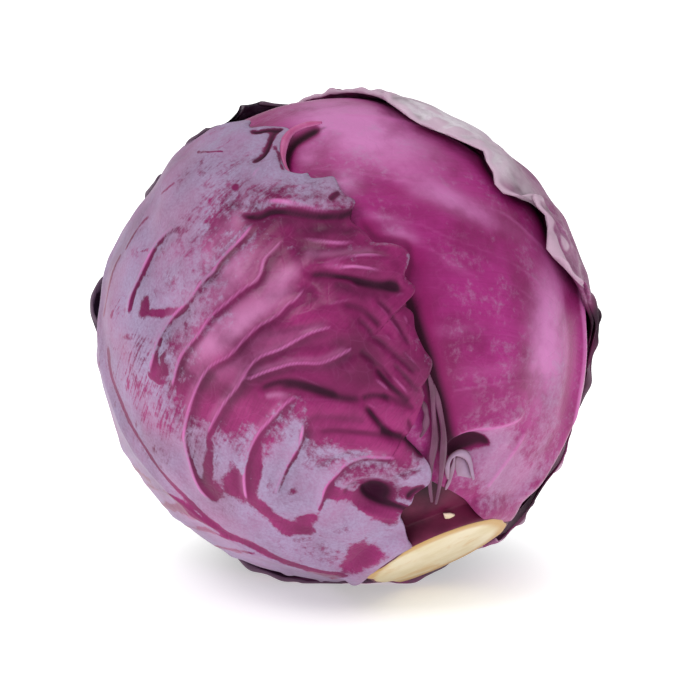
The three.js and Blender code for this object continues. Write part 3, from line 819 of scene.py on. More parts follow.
class Leaf:
    """A wrapper leaf's chart and margins, as in the solids."""

    def __init__(self, layout, order):
        self.name = layout["name"]
        self.order = order
        self.reach = layout["reach"]
        self.flare = layout["flare"]
        self.waves = layout["waves"]
        self.root = STEM_EDGE_ANGLE if order < FRONT_LEAVES else BACK_ROOT_ANGLE
        self.centre = head_directions([(90, layout["turn"])])[0]
        self.east = np.cross(CROWN_AXIS, self.centre)
        self.left_margin = self.margin(-1, layout.get("left_margin"))
        self.right_margin = self.margin(1, layout.get("right_margin"))

    def to_chart(self, directions):
        distance = np.degrees(np.arccos(np.clip(directions @ self.centre, -1, 1)))
        angle = np.arctan2(directions @ CROWN_AXIS, directions @ self.east)
        return distance * np.cos(angle), distance * np.sin(angle)

    def from_chart(self, x, y):
        distance = np.radians(np.hypot(x, y))[:, None]
        angle = np.arctan2(y, x)[:, None]
        return (
            np.cos(distance) * self.centre
            + np.sin(distance) * (np.cos(angle) * self.east + np.sin(angle) * CROWN_AXIS)
        )

    def margin(self, side, listed):
        """A margin from the stem to the tip: partly traced on the view, listed, or a waved oval."""
        if isinstance(listed, dict):
            traced = pixel_directions(listed["pixels"], listed["radius"])
            return smooth_curve(np.vstack([
                head_directions(listed["from_stem"]), traced, head_directions(listed["to_tip"]),
            ]))
        if listed:
            return smooth_curve(head_directions(listed), MARGIN_POINTS_PER_SPAN)
        angle = -math.pi / 2 + side * math.pi * np.linspace(0, 1, OVAL_MARGIN_POINTS)
        wave = MARGIN_WAVE * np.sin(self.waves * angle + side)
        ripple = MARGIN_RIPPLE * np.sin(RIPPLES_PER_WAVE * self.waves * angle)
        reach = oval_reach(self.reach, angle) * (1 + wave + ripple)
        return self.from_chart(reach * np.cos(angle), reach * np.sin(angle))

    def midrib_bulge(self, x, y):
        """The height of the midrib, which thins out and flattens towards the tip."""
        base, tip = self.reach["base"], self.reach["tip"]
        along = np.clip((y + base) / (tip + base), 0, 1)
        height = lerp(MIDRIB_BASE_HEIGHT, MIDRIB_TIP_HEIGHT, np.sqrt(along))
        half_width = lerp(MIDRIB_BASE_HALF_WIDTH, MIDRIB_TIP_HALF_WIDTH, along)
        return height * gaussian(x, half_width) * gaussian(np.maximum(0, y - tip), PROP_MARGIN)

    def lift(self, directions):
        """How far the leaf holds up the ones that lie on it."""
        x, y = self.to_chart(directions)
        past = np.hypot(x, y) - oval_reach(self.reach, np.arctan2(y, x)) - PROP_MARGIN
        cover = 1 - smoothstep(past, 0, PROP_FADE)
        return cover * (BLADE_THICKNESS + LAYER_GAP + SIDE_VEIN_HEIGHT + self.midrib_bulge(x, y))

    def edge_flare(self, row, column):
        """How far the waved margins stand off the leaf below."""
        side = np.where(column < 0, self.flare["left"], self.flare["right"])
        phase = np.where(column < 0, 0, RIGHT_FLARE_PHASE)
        height = lerp(side, self.flare["tip"], smoothstep(row, *FLARE_TIP_ROWS))
        wave = FLARE_MEAN + FLARE_SWING * np.sin(2 * math.pi * self.waves * row + phase)
        fade = smoothstep(row, *FLARE_STEM_ROWS) * smoothstep(np.abs(column), *FLARE_COLUMNS)
        return height * wave * fade

    def blade(self, rows, columns):
        """Chart coordinates of a grid of rows that follow the side veins."""
        along = ((rows - FIRST_ROW) / (LAST_ROW - FIRST_ROW)) ** VEIN_SWEEP_LAG
        root_y = lerp(self.root - 90, self.reach["tip"], along)[:, None]
        ends = []
        for margin in (self.left_margin, self.right_margin):
            directions = along_curve(margin, rows)
            directions /= np.linalg.norm(directions, axis=1, keepdims=True)
            ends.append(np.stack(self.to_chart(directions), axis=1))
        towards_left = (columns < 0)[None, :, None]
        left, right = ends
        end = np.where(towards_left, left[:, None, :], right[:, None, :])
        left, right = (even_out(side_ends) for side_ends in ends)
        even_end = np.where(towards_left, left[:, None, :], right[:, None, :])
        end = lerp(even_end, end, smoothstep(np.abs(columns), *EVEN_COLUMNS)[None, :, None])
        bend_x = end[..., 0] * VEIN_BEND_OUT
        bend_y = lerp(root_y, end[..., 1], VEIN_BEND_UP)
        t = np.abs(columns)[None, :]
        x = 2 * t * (1 - t) * bend_x + t * t * end[..., 0]
        y = (1 - t) ** 2 * root_y + 2 * t * (1 - t) * bend_y + t * t * end[..., 1]
        return x, y


leaves = [Leaf(layout, order) for order, layout in enumerate(WRAPPER_LEAVES)]
right_leaf, left_leaf, back_right_leaf, back_left_leaf = leaves
swellings = [(head_directions([place])[0], radius, height) for place, radius, height in SWELLINGS]


def inner_radius(order, directions):
    return HEART_RADIUS + LAYER_GAP + sum(leaf.lift(directions) for leaf in leaves[:order])


def swelling(directions):
    total = np.zeros(len(directions))
    for middle, radius, height in swellings:
        distance = np.arccos(np.clip(directions @ middle, -1, 1)) * HEART_RADIUS
        total += height * gaussian(distance, radius)
    return total


def skin_radius(directions):
    return inner_radius(len(leaves) - 1, directions) + BLADE_THICKNESS + swelling(directions)


CENTRE_HEIGHT = skin_radius(np.array([[0, 0, -1.0]]))[0] - REST_FLAT_DEPTH


def place_on_head(directions, radius):
    """Points on the swollen head, which is pressed flat where it rests."""
    swollen = radius + swelling(directions)
    down = np.maximum(-directions[:, 2], 1e-6)
    depth = np.maximum(0, skin_radius(directions) - swollen)
    pressed = np.where(directions[:, 2] < 0, (CENTRE_HEIGHT - depth) / down, np.inf)
    return directions * np.minimum(swollen, pressed)[:, None]


def random_waves(points, wavelength, seed, count=28):
    """A smooth random field of about unit size, from plane waves in seeded directions."""
    draw = np.random.default_rng(seed)
    directions = draw.normal(size=(count, points.shape[1]))
    directions /= np.linalg.norm(directions, axis=1, keepdims=True)
    rates = 2 * math.pi / wavelength * draw.uniform(*WAVE_RATES, count)
    phases = draw.uniform(0, 2 * math.pi, count)
    total = np.zeros(len(points))
    for direction, rate, phase in zip(directions, rates, phases):
        total += np.sin((points @ direction) * rate + phase)
    return total / math.sqrt(count / 2)


def nearness_to_stem(directions):
    """1 at the stem's rim, fading to 0 a little way up the head."""
    angle = np.degrees(np.arccos(np.clip(directions @ STEM_AXIS, -1, 1)))
    return 1 - smoothstep(angle, *NEAR_STEM_ANGLES)


def rim_level(directions):
    """How far from the centre the plane of the cut stem's rim is."""
    return (STEM_CUT - RIM_DROP) / np.maximum(directions @ STEM_AXIS, LEAST_RIM_COSINE)


class Surface:
    """The outer face of a leaf while its relief and marks are worked out, a value per vertex."""

    def __init__(self, leaf, rows, columns):
        self.leaf = leaf
        self.shape = (len(rows), len(columns))
        x, y = leaf.blade(rows, columns)
        self.x, self.y = x.ravel(), y.ravel()
        self.row = np.repeat(rows, len(columns))
        self.column = np.tile(columns, len(rows))
        self.directions = leaf.from_chart(self.x, self.y)
        self.under = inner_radius(leaf.order, self.directions)
        self.under += leaf.edge_flare(self.row, self.column)
        self.near_stem = nearness_to_stem(self.directions)
        level = rim_level(self.directions) + BASE_STEP * leaf.order - BLADE_THICKNESS
        self.under = lerp(self.under, level, self.near_stem)
        self.height = leaf.midrib_bulge(self.x, self.y)
        self.plain = place_on_head(self.directions, self.under + BLADE_THICKNESS + self.height)
        self.pixels = to_pixels(self.plain)
        self.facing = smoothstep(self.directions @ TO_VIEWER, *FACING_FADE)
        self.around = smoothstep(self.directions @ TO_VIEWER, *AROUND_FADE)
        self.marks = {name: np.zeros(len(self.x)) for name in MARKS}
        self.vein_distance = np.full(len(self.x), FAR_FROM_VEINS)

    def near(self, path, reach):
        """Vertices within reach of a traced path: which, how far, how far along, on which side."""
        path = smooth_curve(path, TRACE_POINTS_PER_SPAN)
        low, high = path.min(0) - reach, path.max(0) + reach
        inside = np.all((self.pixels > low) & (self.pixels < high), axis=1) & (self.facing > 0)
        which = np.flatnonzero(inside)
        here = self.pixels[which]
        best = np.full(len(which), np.inf)
        along = np.zeros(len(which))
        side = np.ones(len(which))
        spans = np.diff(path, axis=0)
        lengths = np.linalg.norm(spans, axis=1)
        starts = np.concatenate([[0], np.cumsum(lengths)[:-1]])
        for start, span, length, before in zip(path[:-1], spans, lengths, starts):
            offset = here - start
            share = np.clip(offset @ span / length ** 2, 0, 1)
            distance = np.hypot(*(offset - share[:, None] * span).T)
            closer = distance < best
            best = np.where(closer, distance, best)
            along = np.where(closer, (before + share * length) / lengths.sum(), along)
            cross = span[0] * offset[:, 1] - span[1] * offset[:, 0]
            side = np.where(closer, np.where(cross > 0, 1, -1), side)
        close = best < reach
        return which[close], best[close], along[close], side[close]

    def line(self, path, above, below=None, height=0.0, offset=0.0, taper=FOLD_TAPER, **marks):
        """A ridge, or a groove, and its marks along a path traced from left to right, with a
        width of its own above and below."""
        below = below or above
        reach = LINE_REACH * max(above, below) + abs(offset)
        which, distance, along, side = self.near(path, reach)
        signed = distance * side - offset
        fade = smoothstep(along, 0, taper) * (1 - smoothstep(along, 1 - taper, 1))
        spread = np.abs(signed) / np.where(signed > 0, below, above)
        profile = np.exp(-spread if "crease_shade" in marks else -spread * spread)
        profile = profile * fade * self.facing[which]
        self.height[which] += height * profile
        for name, amount in marks.items():
            self.marks[name][which] = np.maximum(self.marks[name][which], amount * profile)

    def side_vein(self, path, height=0.9, width=2.2, rub=0.85, shade=0.8, vein=1.25):
        """A raised vein whose crest is lighter, partly its own tone and partly a painted highlight
        on its upper side, with a rubbed line and painted shade below it.
        """
        self.line(path, above=width, height=height, taper=VEIN_TAPER)
        self.line(path, above=11, height=-0.3)
        self.line(path, above=width, offset=-0.8, taper=VEIN_TAPER, vein=vein)
        self.line(path, above=1.2, below=2.4, offset=1.6, taper=VEIN_TAPER, rub=rub)
        self.line(path, above=1.5, below=9, offset=1.8, taper=0.15, shade=shade)
        which, distance, _, _ = self.near(path, VEIN_REACH)
        self.vein_distance[which] = np.minimum(self.vein_distance[which], distance)

    def spot(self, middle, radii, angle):
        """A soft oval on the view: 1 in its middle, 0 outside."""
        offset = self.pixels - np.array(middle, float)
        cosine, sine = math.cos(math.radians(angle)), math.sin(math.radians(angle))
        u = (offset[:, 0] * cosine + offset[:, 1] * sine) / radii[0]
        v = (-offset[:, 0] * sine + offset[:, 1] * cosine) / radii[1]
        return np.exp(-(u * u + v * v)) * self.around

    def spots(self, name, ovals):
        """Adds ovals to a mark: middle, radii, angle and amount."""
        for middle, radii, angle, amount in ovals:
            self.marks[name] += amount * self.spot(middle, radii, angle)

    def hollows(self, ovals):
        """Sunken ovals, with painted shade inside."""
        for middle, radii, angle, amount in ovals:
            self.height -= HOLLOW_DEPTH * amount * self.spot(middle, radii, angle)
        self.spots("crease_shade", ovals)

    def row_veins(self, keep):
        """Side veins that follow the blade's rows, where nothing is traced."""
        for vein in range(VEINS_PER_LEAF):
            middle = lerp(FIRST_VEIN, LAST_VEIN, vein / (VEINS_PER_LEAF - 1))
            wander = VEIN_WANDER * np.sin(WANDER_RATE * self.column + WANDER_STEP * vein)
            wander *= np.abs(self.column)
            distance = np.abs(self.row - middle) / VEIN_HALF_WIDTH + wander
            fade = np.sqrt(1 - np.abs(self.column)) * keep
            self.height += SIDE_VEIN_HEIGHT * gaussian(distance, UNTRACED_RIDGE_SHARE) * fade
            crest = gaussian(distance, UNTRACED_CREST_SHARE) * fade
            self.marks["vein"] = np.maximum(self.marks["vein"], UNTRACED_VEIN_TONE * crest)
        rib = MIDRIB_TIP_HALF_WIDTH * gaussian(self.y, MIDRIB_TONE_LENGTH)
        crest = gaussian(self.x, rib) * keep
        self.marks["vein"] = np.maximum(self.marks["vein"], UNTRACED_VEIN_TONE * crest)

    def soften(self, values, passes=2):
        """Evens out what is finer than the grid."""
        grid = values.reshape(self.shape)
        for _ in range(passes):
            wide = np.pad(grid, 1, mode="edge")
            grid = (wide[:-2, 1:-1] + 2 * wide[1:-1, 1:-1] + wide[2:, 1:-1]) / 4
            wide = np.pad(grid, 1, mode="edge")
            grid = (wide[1:-1, :-2] + 2 * wide[1:-1, 1:-1] + wide[1:-1, 2:]) / 4
        return grid.ravel()

    def finish(self):
        self.height = self.soften(self.height)
        deep = np.maximum(0, -self.height - DEEPEST / 2)
        self.height += deep - DEEPEST / 2 * np.tanh(deep / (DEEPEST / 2))
        self.height *= 1 - self.near_stem
        thin = smoothstep(np.abs(self.column), *EDGE_COLUMNS)
        thin = EDGE_THINNING * np.maximum(thin, smoothstep(self.row, *EDGE_ROWS))
        outer_radius = self.under + BLADE_THICKNESS + self.height - thin
        inner_radius = outer_radius - BLADE_THICKNESS + thin
        inner_radius = np.minimum(inner_radius, self.under + INNER_FACE_LIMIT)
        outer = place_on_head(self.directions, outer_radius)
        inner = place_on_head(self.directions, inner_radius)
        return closed_blade(self, outer, inner, INNER_FACE_STEP)


def closed_blade(surface, outer, inner, inner_step):
    """Joins a fine outer grid to a coarser inner one along the rim."""
    rows, columns = surface.shape
    outer_index = np.arange(rows * columns).reshape(rows, columns)
    row_picks = np.arange(0, rows, inner_step)
    column_picks = np.arange(0, columns, inner_step)
    picked = outer_index[np.ix_(row_picks, column_picks)]
    inner_index = np.arange(picked.size).reshape(picked.shape) + rows * columns
    points = np.vstack([outer, inner[picked.ravel()]])
    fine, coarse = rim(outer_index), rim(inner_index)
    half = inner_step // 2
    triangles = []
    for index in range(len(coarse)):
        start, end = coarse[index], coarse[(index + 1) % len(coarse)]
        span = [fine[(index * inner_step + k) % len(fine)] for k in range(inner_step + 1)]
        triangles.append((span[half], start, end))
        for k in range(inner_step):
            triangles.append((span[k], start if k < half else end, span[k + 1]))
    order = np.concatenate([np.arange(rows * columns), picked.ravel()])
    attributes = {name: surface.soften(values, 1) for name, values in surface.marks.items()}
    attributes["flow_across"] = surface.row * FLOW_ACROSS
    attributes["flow_along"] = surface.column * FLOW_ALONG
    return build_mesh(
        surface.leaf.name + "_blade", points,
        [quads(outer_index), quads(inner_index)[:, ::-1], np.array(triangles)],
        {name: values[order] for name, values in attributes.items()},
    )


def quads(index):
    return np.stack(
        [index[:-1, :-1], index[:-1, 1:], index[1:, 1:], index[1:, :-1]], axis=-1,
    ).reshape(-1, 4)


def rim(index):
    return np.concatenate([index[0, :-1], index[:-1, -1], index[-1, :0:-1], index[:0:-1, 0]])


def build_mesh(name, points, face_groups, attributes):
    """A mesh object in metres, in the part's own frame, from points round the head's centre."""
    mesh = bpy.data.meshes.new(name)
    lifted = (np.asarray(points) + [0, 0, CENTRE_HEIGHT]) * MM
    faces = [face for group in face_groups for face in group.tolist()]
    mesh.from_pydata(lifted.tolist(), [], faces)
    mesh.validate()
    for attribute_name, values in attributes.items():
        layer = mesh.attributes.new(attribute_name, "FLOAT", "POINT")
        layer.data.foreach_set("value", np.asarray(values, np.float32))
    mesh.polygons.foreach_set("use_smooth", np.ones(len(mesh.polygons), bool))
    mesh.update()
    piece = bpy.data.objects.new(name, mesh)
    bpy.context.scene.collection.objects.link(piece)
    return piece


def blade_grid(row_count, left_count, right_count):
    """A leaf's rows, and its columns from the left margin over the midrib to the right margin."""
    rows = np.linspace(FIRST_ROW, LAST_ROW, row_count)
    left_columns = -np.linspace(1, 0, left_count)[:-1]
    right_columns = np.linspace(0, 1, right_count)
    return rows, np.concatenate([left_columns, right_columns])


def left_relief(surface):
    """Veins, folds, hollows and wax of the left leaf."""
    for path in LEFT_VEINS.values():
        surface.side_vein(path)
    surface.line(LEFT_MIDRIB, above=1.4, below=1.8, taper=0.03, rub=1.0)
    surface.line(LEFT_MIDRIB[THICK_MIDRIB_FROM:], above=3.0, below=3.6, taper=0.1, rub=1.0)
    surface.line(LEFT_MIDRIB, above=8, height=0.7, offset=-10, taper=0.1)
    for path in LEFT_BASE_VEINS:
        surface.line(path, above=1.4, height=0.5, rub=0.85)
    for path in LEFT_HAIRLINES:
        surface.line(path, above=1.0, height=0.25, rub=1.0)
    for path, above, below, height, marks in LEFT_FOLDS:
        taper = CREST_TAPER if "crest" in marks else FOLD_TAPER
        surface.line(path, above, below, height, taper=taper, **marks)
    surface.hollows(LEFT_HOLLOWS)
    surface.marks["bloom"] += 1
    surface.spots("bloom", LEFT_BLOOM)
    surface.spots("rub", LEFT_RUBBED)
    # Painted highlights on the pillows between the veins, kept off the veins, and a painted
    # highlight above each vein
    surface.spots("pale", LEFT_PALE)
    surface.marks["pale"] *= 0.7 * smoothstep(surface.vein_distance, 1.5, 9)
    for path in LEFT_VEINS.values():
        surface.line(path, above=6, below=1.2, offset=-2.4, taper=0.15, pale=0.45)
    surface.spots("streak", LEFT_STREAKS)


def make_left_leaf():
    surface = Surface(left_leaf, *blade_grid(*LEFT_LEAF_GRID))
    seen_right = surface.facing * (surface.column > 0)
    surface.row_veins(1 - seen_right)
    left_relief(surface)
    between = smoothstep(surface.vein_distance, 0, 16)
    surface.height += 0.4 * between * seen_right
    near_seam = smoothstep(surface.column, 0.45, 0.9) * surface.facing
    surface.height += 0.12 * near_seam * random_waves(surface.plain, wavelength=8, seed=11)
    surface.height += 0.25 * random_waves(surface.plain, wavelength=22, seed=12)
    surface.marks["streak"] += 0.25
    return surface.finish()


def make_right_leaf():
    surface = Surface(right_leaf, *blade_grid(*RIGHT_LEAF_GRID))
    surface.row_veins(1 - surface.facing)
    for path in RIGHT_VEINS.values():
        surface.side_vein(path, height=0.5, width=3.2, rub=0.4, shade=0.22, vein=0.85)
    surface.line(RIGHT_MIDRIB, above=4, height=1.0)
    for path, above, below, height, marks in RIGHT_FOLDS:
        surface.line(path, above, below, height, **marks)
    surface.height += 0.3 * random_waves(surface.plain, wavelength=30, seed=21)
    surface.marks["bloom"] += 0.1
    surface.hollows(RIGHT_HOLLOWS)
    surface.spots("pale", RIGHT_PALE)
    surface.spots("rub", RIGHT_RUBBED)
    surface.spots("bloom", RIGHT_BLOOM)
    surface.marks["streak"] += 0.25
    return surface.finish()


def make_back_leaf(leaf, seed, bloom, wrinkle, ovals):
    """A back leaf, wrinkled towards its margins, with painted highlights on the tops of its folds
    and painted shade in their valleys.
    """
    surface = Surface(leaf, *blade_grid(*BACK_LEAF_GRID))
    surface.row_veins(np.ones(len(surface.x)))
    near_edge = smoothstep(np.abs(surface.column), 0.72, 1.0)
    surface.height += 0.35 * random_waves(surface.plain, wavelength=24, seed=seed)
    crumples = random_waves(surface.plain, wavelength=8, seed=seed + 1)
    folds = np.abs(random_waves(surface.plain, wavelength=11, seed=seed + 3))
    surface.height += (0.06 + wrinkle * near_edge) * (0.5 * crumples + folds)
    # Painted highlights on the tops of the folds near the margins, and painted shade in their
    # valleys, where the flesh is also darker and bare of wax
    surface.marks["crest"] += near_edge * smoothstep(folds, 0.9, 1.8)
    surface.marks["rub"] += near_edge * (1 - smoothstep(folds, 0.0, 0.5))
    surface.marks["shade"] += near_edge * (1 - smoothstep(folds, 0.0, 0.7))
    # A painted highlight along the margin
    surface.marks["crest"] += 0.8 * smoothstep(np.abs(surface.column), 0.97, 1.0)
    mottle = random_waves(surface.plain, wavelength=40, seed=seed + 2)
    surface.marks["bloom"] += bloom + 0.15 * mottle
    surface.marks["streak"] += 0.5
    for name, listed in ovals.items():
        surface.spots(name, listed)
    return surface.finish()


def end_fans(wrapped, last_point):
    """The triangles that close a wrapped grid at its first point and at its last one."""
    first = [(0, after, before) for before, after in zip(wrapped[0], wrapped[0, 1:])]
    last = [(before, after, last_point) for before, after in zip(wrapped[-1], wrapped[-1, 1:])]
    return np.array(first), np.array(last)


def make_heart():
    """The inner leaves, which show only round the stem, where the leaf bases rise to meet it."""
    polars = np.concatenate([np.linspace(*rows) for rows in HEART_ROWS])
    turns = np.arange(0, 360, HEART_TURN_STEP)
    places = np.array([(polar, turn) for polar in polars for turn in turns])
    places = np.vstack([[(0, 0)], places, [(180, 0)]])
    polar, turn = places[:, 0], np.radians(places[:, 1])
    directions = head_directions(places)
    past_edge = polar - np.degrees(np.arctan(stem_outline(turn) * STEM_CUT_RADIUS / STEM_CUT))
    inset_radius = HEART_RADIUS - HEART_INSET
    collar_top = (STEM_CUT - COLLAR_DROP) / np.cos(np.radians(np.minimum(polar, COLLAR_WIDEST)))
    collar = (collar_top - inset_radius) * (1 - smoothstep(past_edge, *COLLAR_FADE))
    radius = lerp(SOCKET_FLOOR, inset_radius + collar, smoothstep(past_edge, *SOCKET_WALL))
    ripples = HEART_RIPPLE * np.sin(turn * HEART_RIPPLES)
    ripples *= gaussian(polar - HEART_RIPPLE_ANGLE, HEART_RIPPLE_WIDTH)
    points = place_on_head(directions, radius + ripples)
    index = np.arange(len(polars) * len(turns)).reshape(len(polars), len(turns)) + 1
    wrapped = np.hstack([index, index[:, :1]])
    # A painted shadow under the seam, on the side that faces the viewer
    offset = (to_pixels(points) - SEAM_SHADOW_MIDDLE) / SEAM_SHADOW_RADII
    crease_shade = np.exp(-(offset ** 2).sum(axis=1)) * (directions @ TO_VIEWER > 0)
    faces = [quads(wrapped), *end_fans(wrapped, len(points) - 1)]
    return build_mesh("inner_leaves", points, faces, {"crease_shade": crease_shade})


def stem_outline(angles):
    """How far the traced outline of the cut reaches round the stem, as a share of its radius."""
    outline = smooth_curve([*STEM_OUTLINE, STEM_OUTLINE[0]])
    across, down = (outline.T - FRAME_PIXELS / 2) / FOCAL_PIXELS
    rays = np.outer(across, VIEW_RIGHT) - np.outer(down, VIEW_UP) - TO_VIEWER
    reach = (STEM_CUT - CAMERA_PLACE @ STEM_AXIS) / (rays @ STEM_AXIS)
    points = CAMERA_PLACE + rays * reach[:, None]
    front, right = points @ FRONT_AXIS, points @ RIGHT_AXIS
    round_angle = np.arctan2(right, front) % (2 * math.pi)
    order = np.argsort(round_angle)
    shares = np.clip(np.hypot(front, right) / STEM_CUT_RADIUS, *OUTLINE_SHARES)
    return np.interp(angles, round_angle[order], shares[order], period=2 * math.pi)


def make_stem():
    """The cut stem: a slightly irregular disc with a thin browned rim."""
    rings = [
        (share * (STEM_CUT_RADIUS - STEM_FACE_EDGE), STEM_CUT + STEM_DOME * (1 - share ** 2))
        for share in np.linspace(*STEM_FACE_SHARES)
    ]
    rings += STEM_SIDE
    angles = np.linspace(0, 2 * math.pi, STEM_SPOKES, endpoint=False)
    circle = np.outer(np.cos(angles), FRONT_AXIS) + np.outer(np.sin(angles), RIGHT_AXIS)
    roughness = STEM_RAGGEDNESS * random_waves(circle, wavelength=0.4, seed=32)
    ragged = stem_outline(angles) * (1 + roughness)
    points = [STEM_AXIS * (STEM_CUT + STEM_DOME)]
    for radius, distance in rings:
        points.extend(circle * (radius * ragged)[:, None] + STEM_AXIS * distance)
    points.append(STEM_AXIS * STEM_TOP)
    points = np.array(points)
    index = np.arange(len(rings) * STEM_SPOKES).reshape(len(rings), STEM_SPOKES) + 1
    wrapped = np.hstack([index, index[:, :1]])
    off_axis = points - np.outer(points @ STEM_AXIS, STEM_AXIS)
    from_middle = np.linalg.norm(off_axis, axis=1) / STEM_CUT_RADIUS
    depth = smoothstep(STEM_CUT - points @ STEM_AXIS, *SIDE_TONE_DEPTHS)
    faces = [quads(wrapped), *end_fans(wrapped, len(points) - 1)]
    return build_mesh("cut_stem", points, faces, {"from_middle": from_middle, "depth": depth})


def srgb(red, green, blue):
    """A colour as seen on the screen, 0 to 255, as linear light."""
    values = []
    for value in (red, green, blue):
        share = value / 255
        values.append(share / 12.92 if share <= 0.04045 else ((share + 0.055) / 1.055) ** 2.4)
    return (*values, 1.0)


class Material:
    """Short names for the nodes that the materials below share."""

    def __init__(self, name, roughness, specular=0.5):
        self.material = bpy.data.materials.new(name)
        self.material.use_nodes = True
        self.tree = self.material.node_tree
        self.shader = self.tree.nodes["Principled BSDF"]
        self.shader.inputs["Roughness"].default_value = roughness
        self.shader.inputs["Specular IOR Level"].default_value = specular
        self.coordinates = self.tree.nodes.new("ShaderNodeTexCoord").outputs["Object"]

    def link(self, output, target):
        self.tree.links.new(output, target)

    def attribute(self, name):
        node = self.tree.nodes.new("ShaderNodeAttribute")
        node.attribute_name = name
        return node.outputs["Fac"]

    def chart(self, across_scale, along_scale):
        """Coordinates that stretch a texture along the side veins."""
        combine = self.tree.nodes.new("ShaderNodeCombineXYZ")
        for name, scale, socket in (
            ("flow_across", across_scale, combine.inputs[0]),
            ("flow_along", along_scale, combine.inputs[1]),
        ):
            self.link(self.math("MULTIPLY", self.attribute(name), scale), socket)
        return combine.outputs[0]

    def noise(self, scale, detail=4.0, roughness=0.55, where=None, distortion=0.0):
        node = self.tree.nodes.new("ShaderNodeTexNoise")
        node.inputs["Scale"].default_value = scale
        node.inputs["Detail"].default_value = detail
        node.inputs["Roughness"].default_value = roughness
        node.inputs["Distortion"].default_value = distortion
        self.link(where or self.coordinates, node.inputs["Vector"])
        return node.outputs["Fac"]

    def cells(self, scale, where):
        node = self.tree.nodes.new("ShaderNodeTexVoronoi")
        node.feature = "DISTANCE_TO_EDGE"
        node.inputs["Scale"].default_value = scale
        self.link(where, node.inputs["Vector"])
        return node.outputs["Distance"]

    def warped(self, amount):
        """The object coordinates, pushed about by a slow noise."""
        noise = self.tree.nodes.new("ShaderNodeTexNoise")
        noise.inputs["Scale"].default_value = WARP_SCALE
        self.link(self.coordinates, noise.inputs["Vector"])
        push = self.tree.nodes.new("ShaderNodeVectorMath")
        push.operation = "MULTIPLY_ADD"
        self.link(noise.outputs["Color"], push.inputs[0])
        push.inputs[1].default_value = (amount, amount, amount)
        self.link(self.coordinates, push.inputs[2])
        return push.outputs["Vector"]

    def math(self, operation, first, second):
        node = self.tree.nodes.new("ShaderNodeMath")
        node.operation = operation
        for value, socket in ((first, node.inputs[0]), (second, node.inputs[1])):
            if isinstance(value, (int, float)):
                socket.default_value = value
            else:
                self.link(value, socket)
        return node.outputs[0]

    def total(self, value, *weighted):
        """A value plus others, each with a weight."""
        for other, weight in weighted:
            value = self.math("ADD", value, self.math("MULTIPLY", other, weight))
        return value

    def spread(self, value, low, high, to_low=0.0, to_high=1.0):
        """A smooth step from one number to another between a low and a high value."""
        node = self.tree.nodes.new("ShaderNodeMapRange")
        node.interpolation_type = "SMOOTHSTEP"
        self.link(value, node.inputs["Value"])
        for socket, number in (
            ("From Min", low), ("From Max", high), ("To Min", to_low), ("To Max", to_high),
        ):
            node.inputs[socket].default_value = number
        return node.outputs["Result"]

    def mix(self, share, first, second):
        node = self.tree.nodes.new("ShaderNodeMix")
        node.data_type = "RGBA"
        self.link(share, node.inputs["Factor"])
        colour_inputs = [s for s in node.inputs if s.type == "RGBA"]
        for value, socket in zip((first, second), colour_inputs):
            if isinstance(value, tuple):
                socket.default_value = value
            else:
                self.link(value, socket)
        return next(s for s in node.outputs if s.type == "RGBA")

    def bump(self, height, strength, distance, normal=None):
        node = self.tree.nodes.new("ShaderNodeBump")
        node.inputs["Strength"].default_value = strength
        node.inputs["Distance"].default_value = distance
        self.link(height, node.inputs["Height"])
        if normal:
            self.link(normal, node.inputs["Normal"])
        return node.outputs["Normal"]

    def finish(self, colour, roughness=None, normal=None):
        self.link(colour, self.shader.inputs["Base Color"])
        if roughness:
            self.link(roughness, self.shader.inputs["Roughness"])
        if normal:
            self.link(normal, self.shader.inputs["Normal"])
        return self.material


def leaf_flesh(m, colours, flow):
    """Mottled flesh, streaked along the veins, with painted shade in its folds and creases and
    painted highlights on its pillows.
    """
    mottle = m.spread(m.noise(MOTTLE_SCALE, 5), 0.3, 0.7)
    flesh = m.mix(mottle, colours["dark"], colours["light"])
    flesh = m.mix(m.spread(flow, 0.4, 0.7, 0, 0.3), flesh, colours["dark"])
    net = m.spread(m.cells(NET_SCALE, m.warped(0.02)), 0.0, 0.04, 0.035, 0)
    flesh = m.mix(net, flesh, colours["vein"])
    # Painted shade below the veins and in the folds
    flesh = m.mix(m.spread(m.attribute("shade"), 0.0, 1.0, 0, 0.6), flesh, colours["shade_colour"])
    # Painted highlights on the pillows between the veins
    uneven = m.spread(m.noise(PALE_SCALE, 5), 0.25, 0.6, 0.65, 1)
    pale = m.math("MULTIPLY", m.attribute("pale"), uneven)
    flesh = m.mix(m.spread(pale, 0.05, 1.0, 0, 0.9), flesh, colours["pale"])
    flesh = m.mix(m.spread(m.attribute("rub"), 0.3, 1.1, 0, 0.6), flesh, colours["deep"])
    # Painted shade in the creases, in the deep colour
    return m.mix(m.spread(m.attribute("crease_shade"), 0.02, 0.4, 0, 0.85), flesh, colours["deep"])


def leaf_wax(m, flow, wax_cover, wax_softness, streaks):
    """How thickly the wax lies: a bloom broken up by noise, and bare where it is rubbed off and
    where the creases are painted dark with shade.
    """
    speckle = m.math("SUBTRACT", m.noise(SPECKLE_SCALE, 6, 0.7), 0.5)
    patches = m.math("SUBTRACT", m.noise(PATCH_SCALE, 5, 0.6), 0.5)
    streak = m.math("MULTIPLY", m.math("SUBTRACT", flow, 0.5), m.attribute("streak"))
    bloom = m.total(m.attribute("bloom"), (speckle, 1.7), (patches, 1.5), (streak, streaks))
    bloom = m.spread(bloom, 0.5 - wax_softness, 0.5 + wax_softness)
    crease_shading = m.attribute("crease_shade")
    bare = m.total(m.attribute("rub"), (crease_shading, 1.3), (speckle, 0.8), (patches, 1.4))
    wax = m.math("MULTIPLY", bloom, m.spread(bare, 0.32, 0.58, wax_cover, 0))
    wax = m.math("MULTIPLY", wax, m.spread(m.noise(CLOUD_SCALE, 8, 0.7), 0.32, 0.64, 0.6, 1))
    return m.math("MULTIPLY", wax, m.spread(m.noise(GRAIN_SCALE, 3), 0.35, 0.65, 0.8, 1))


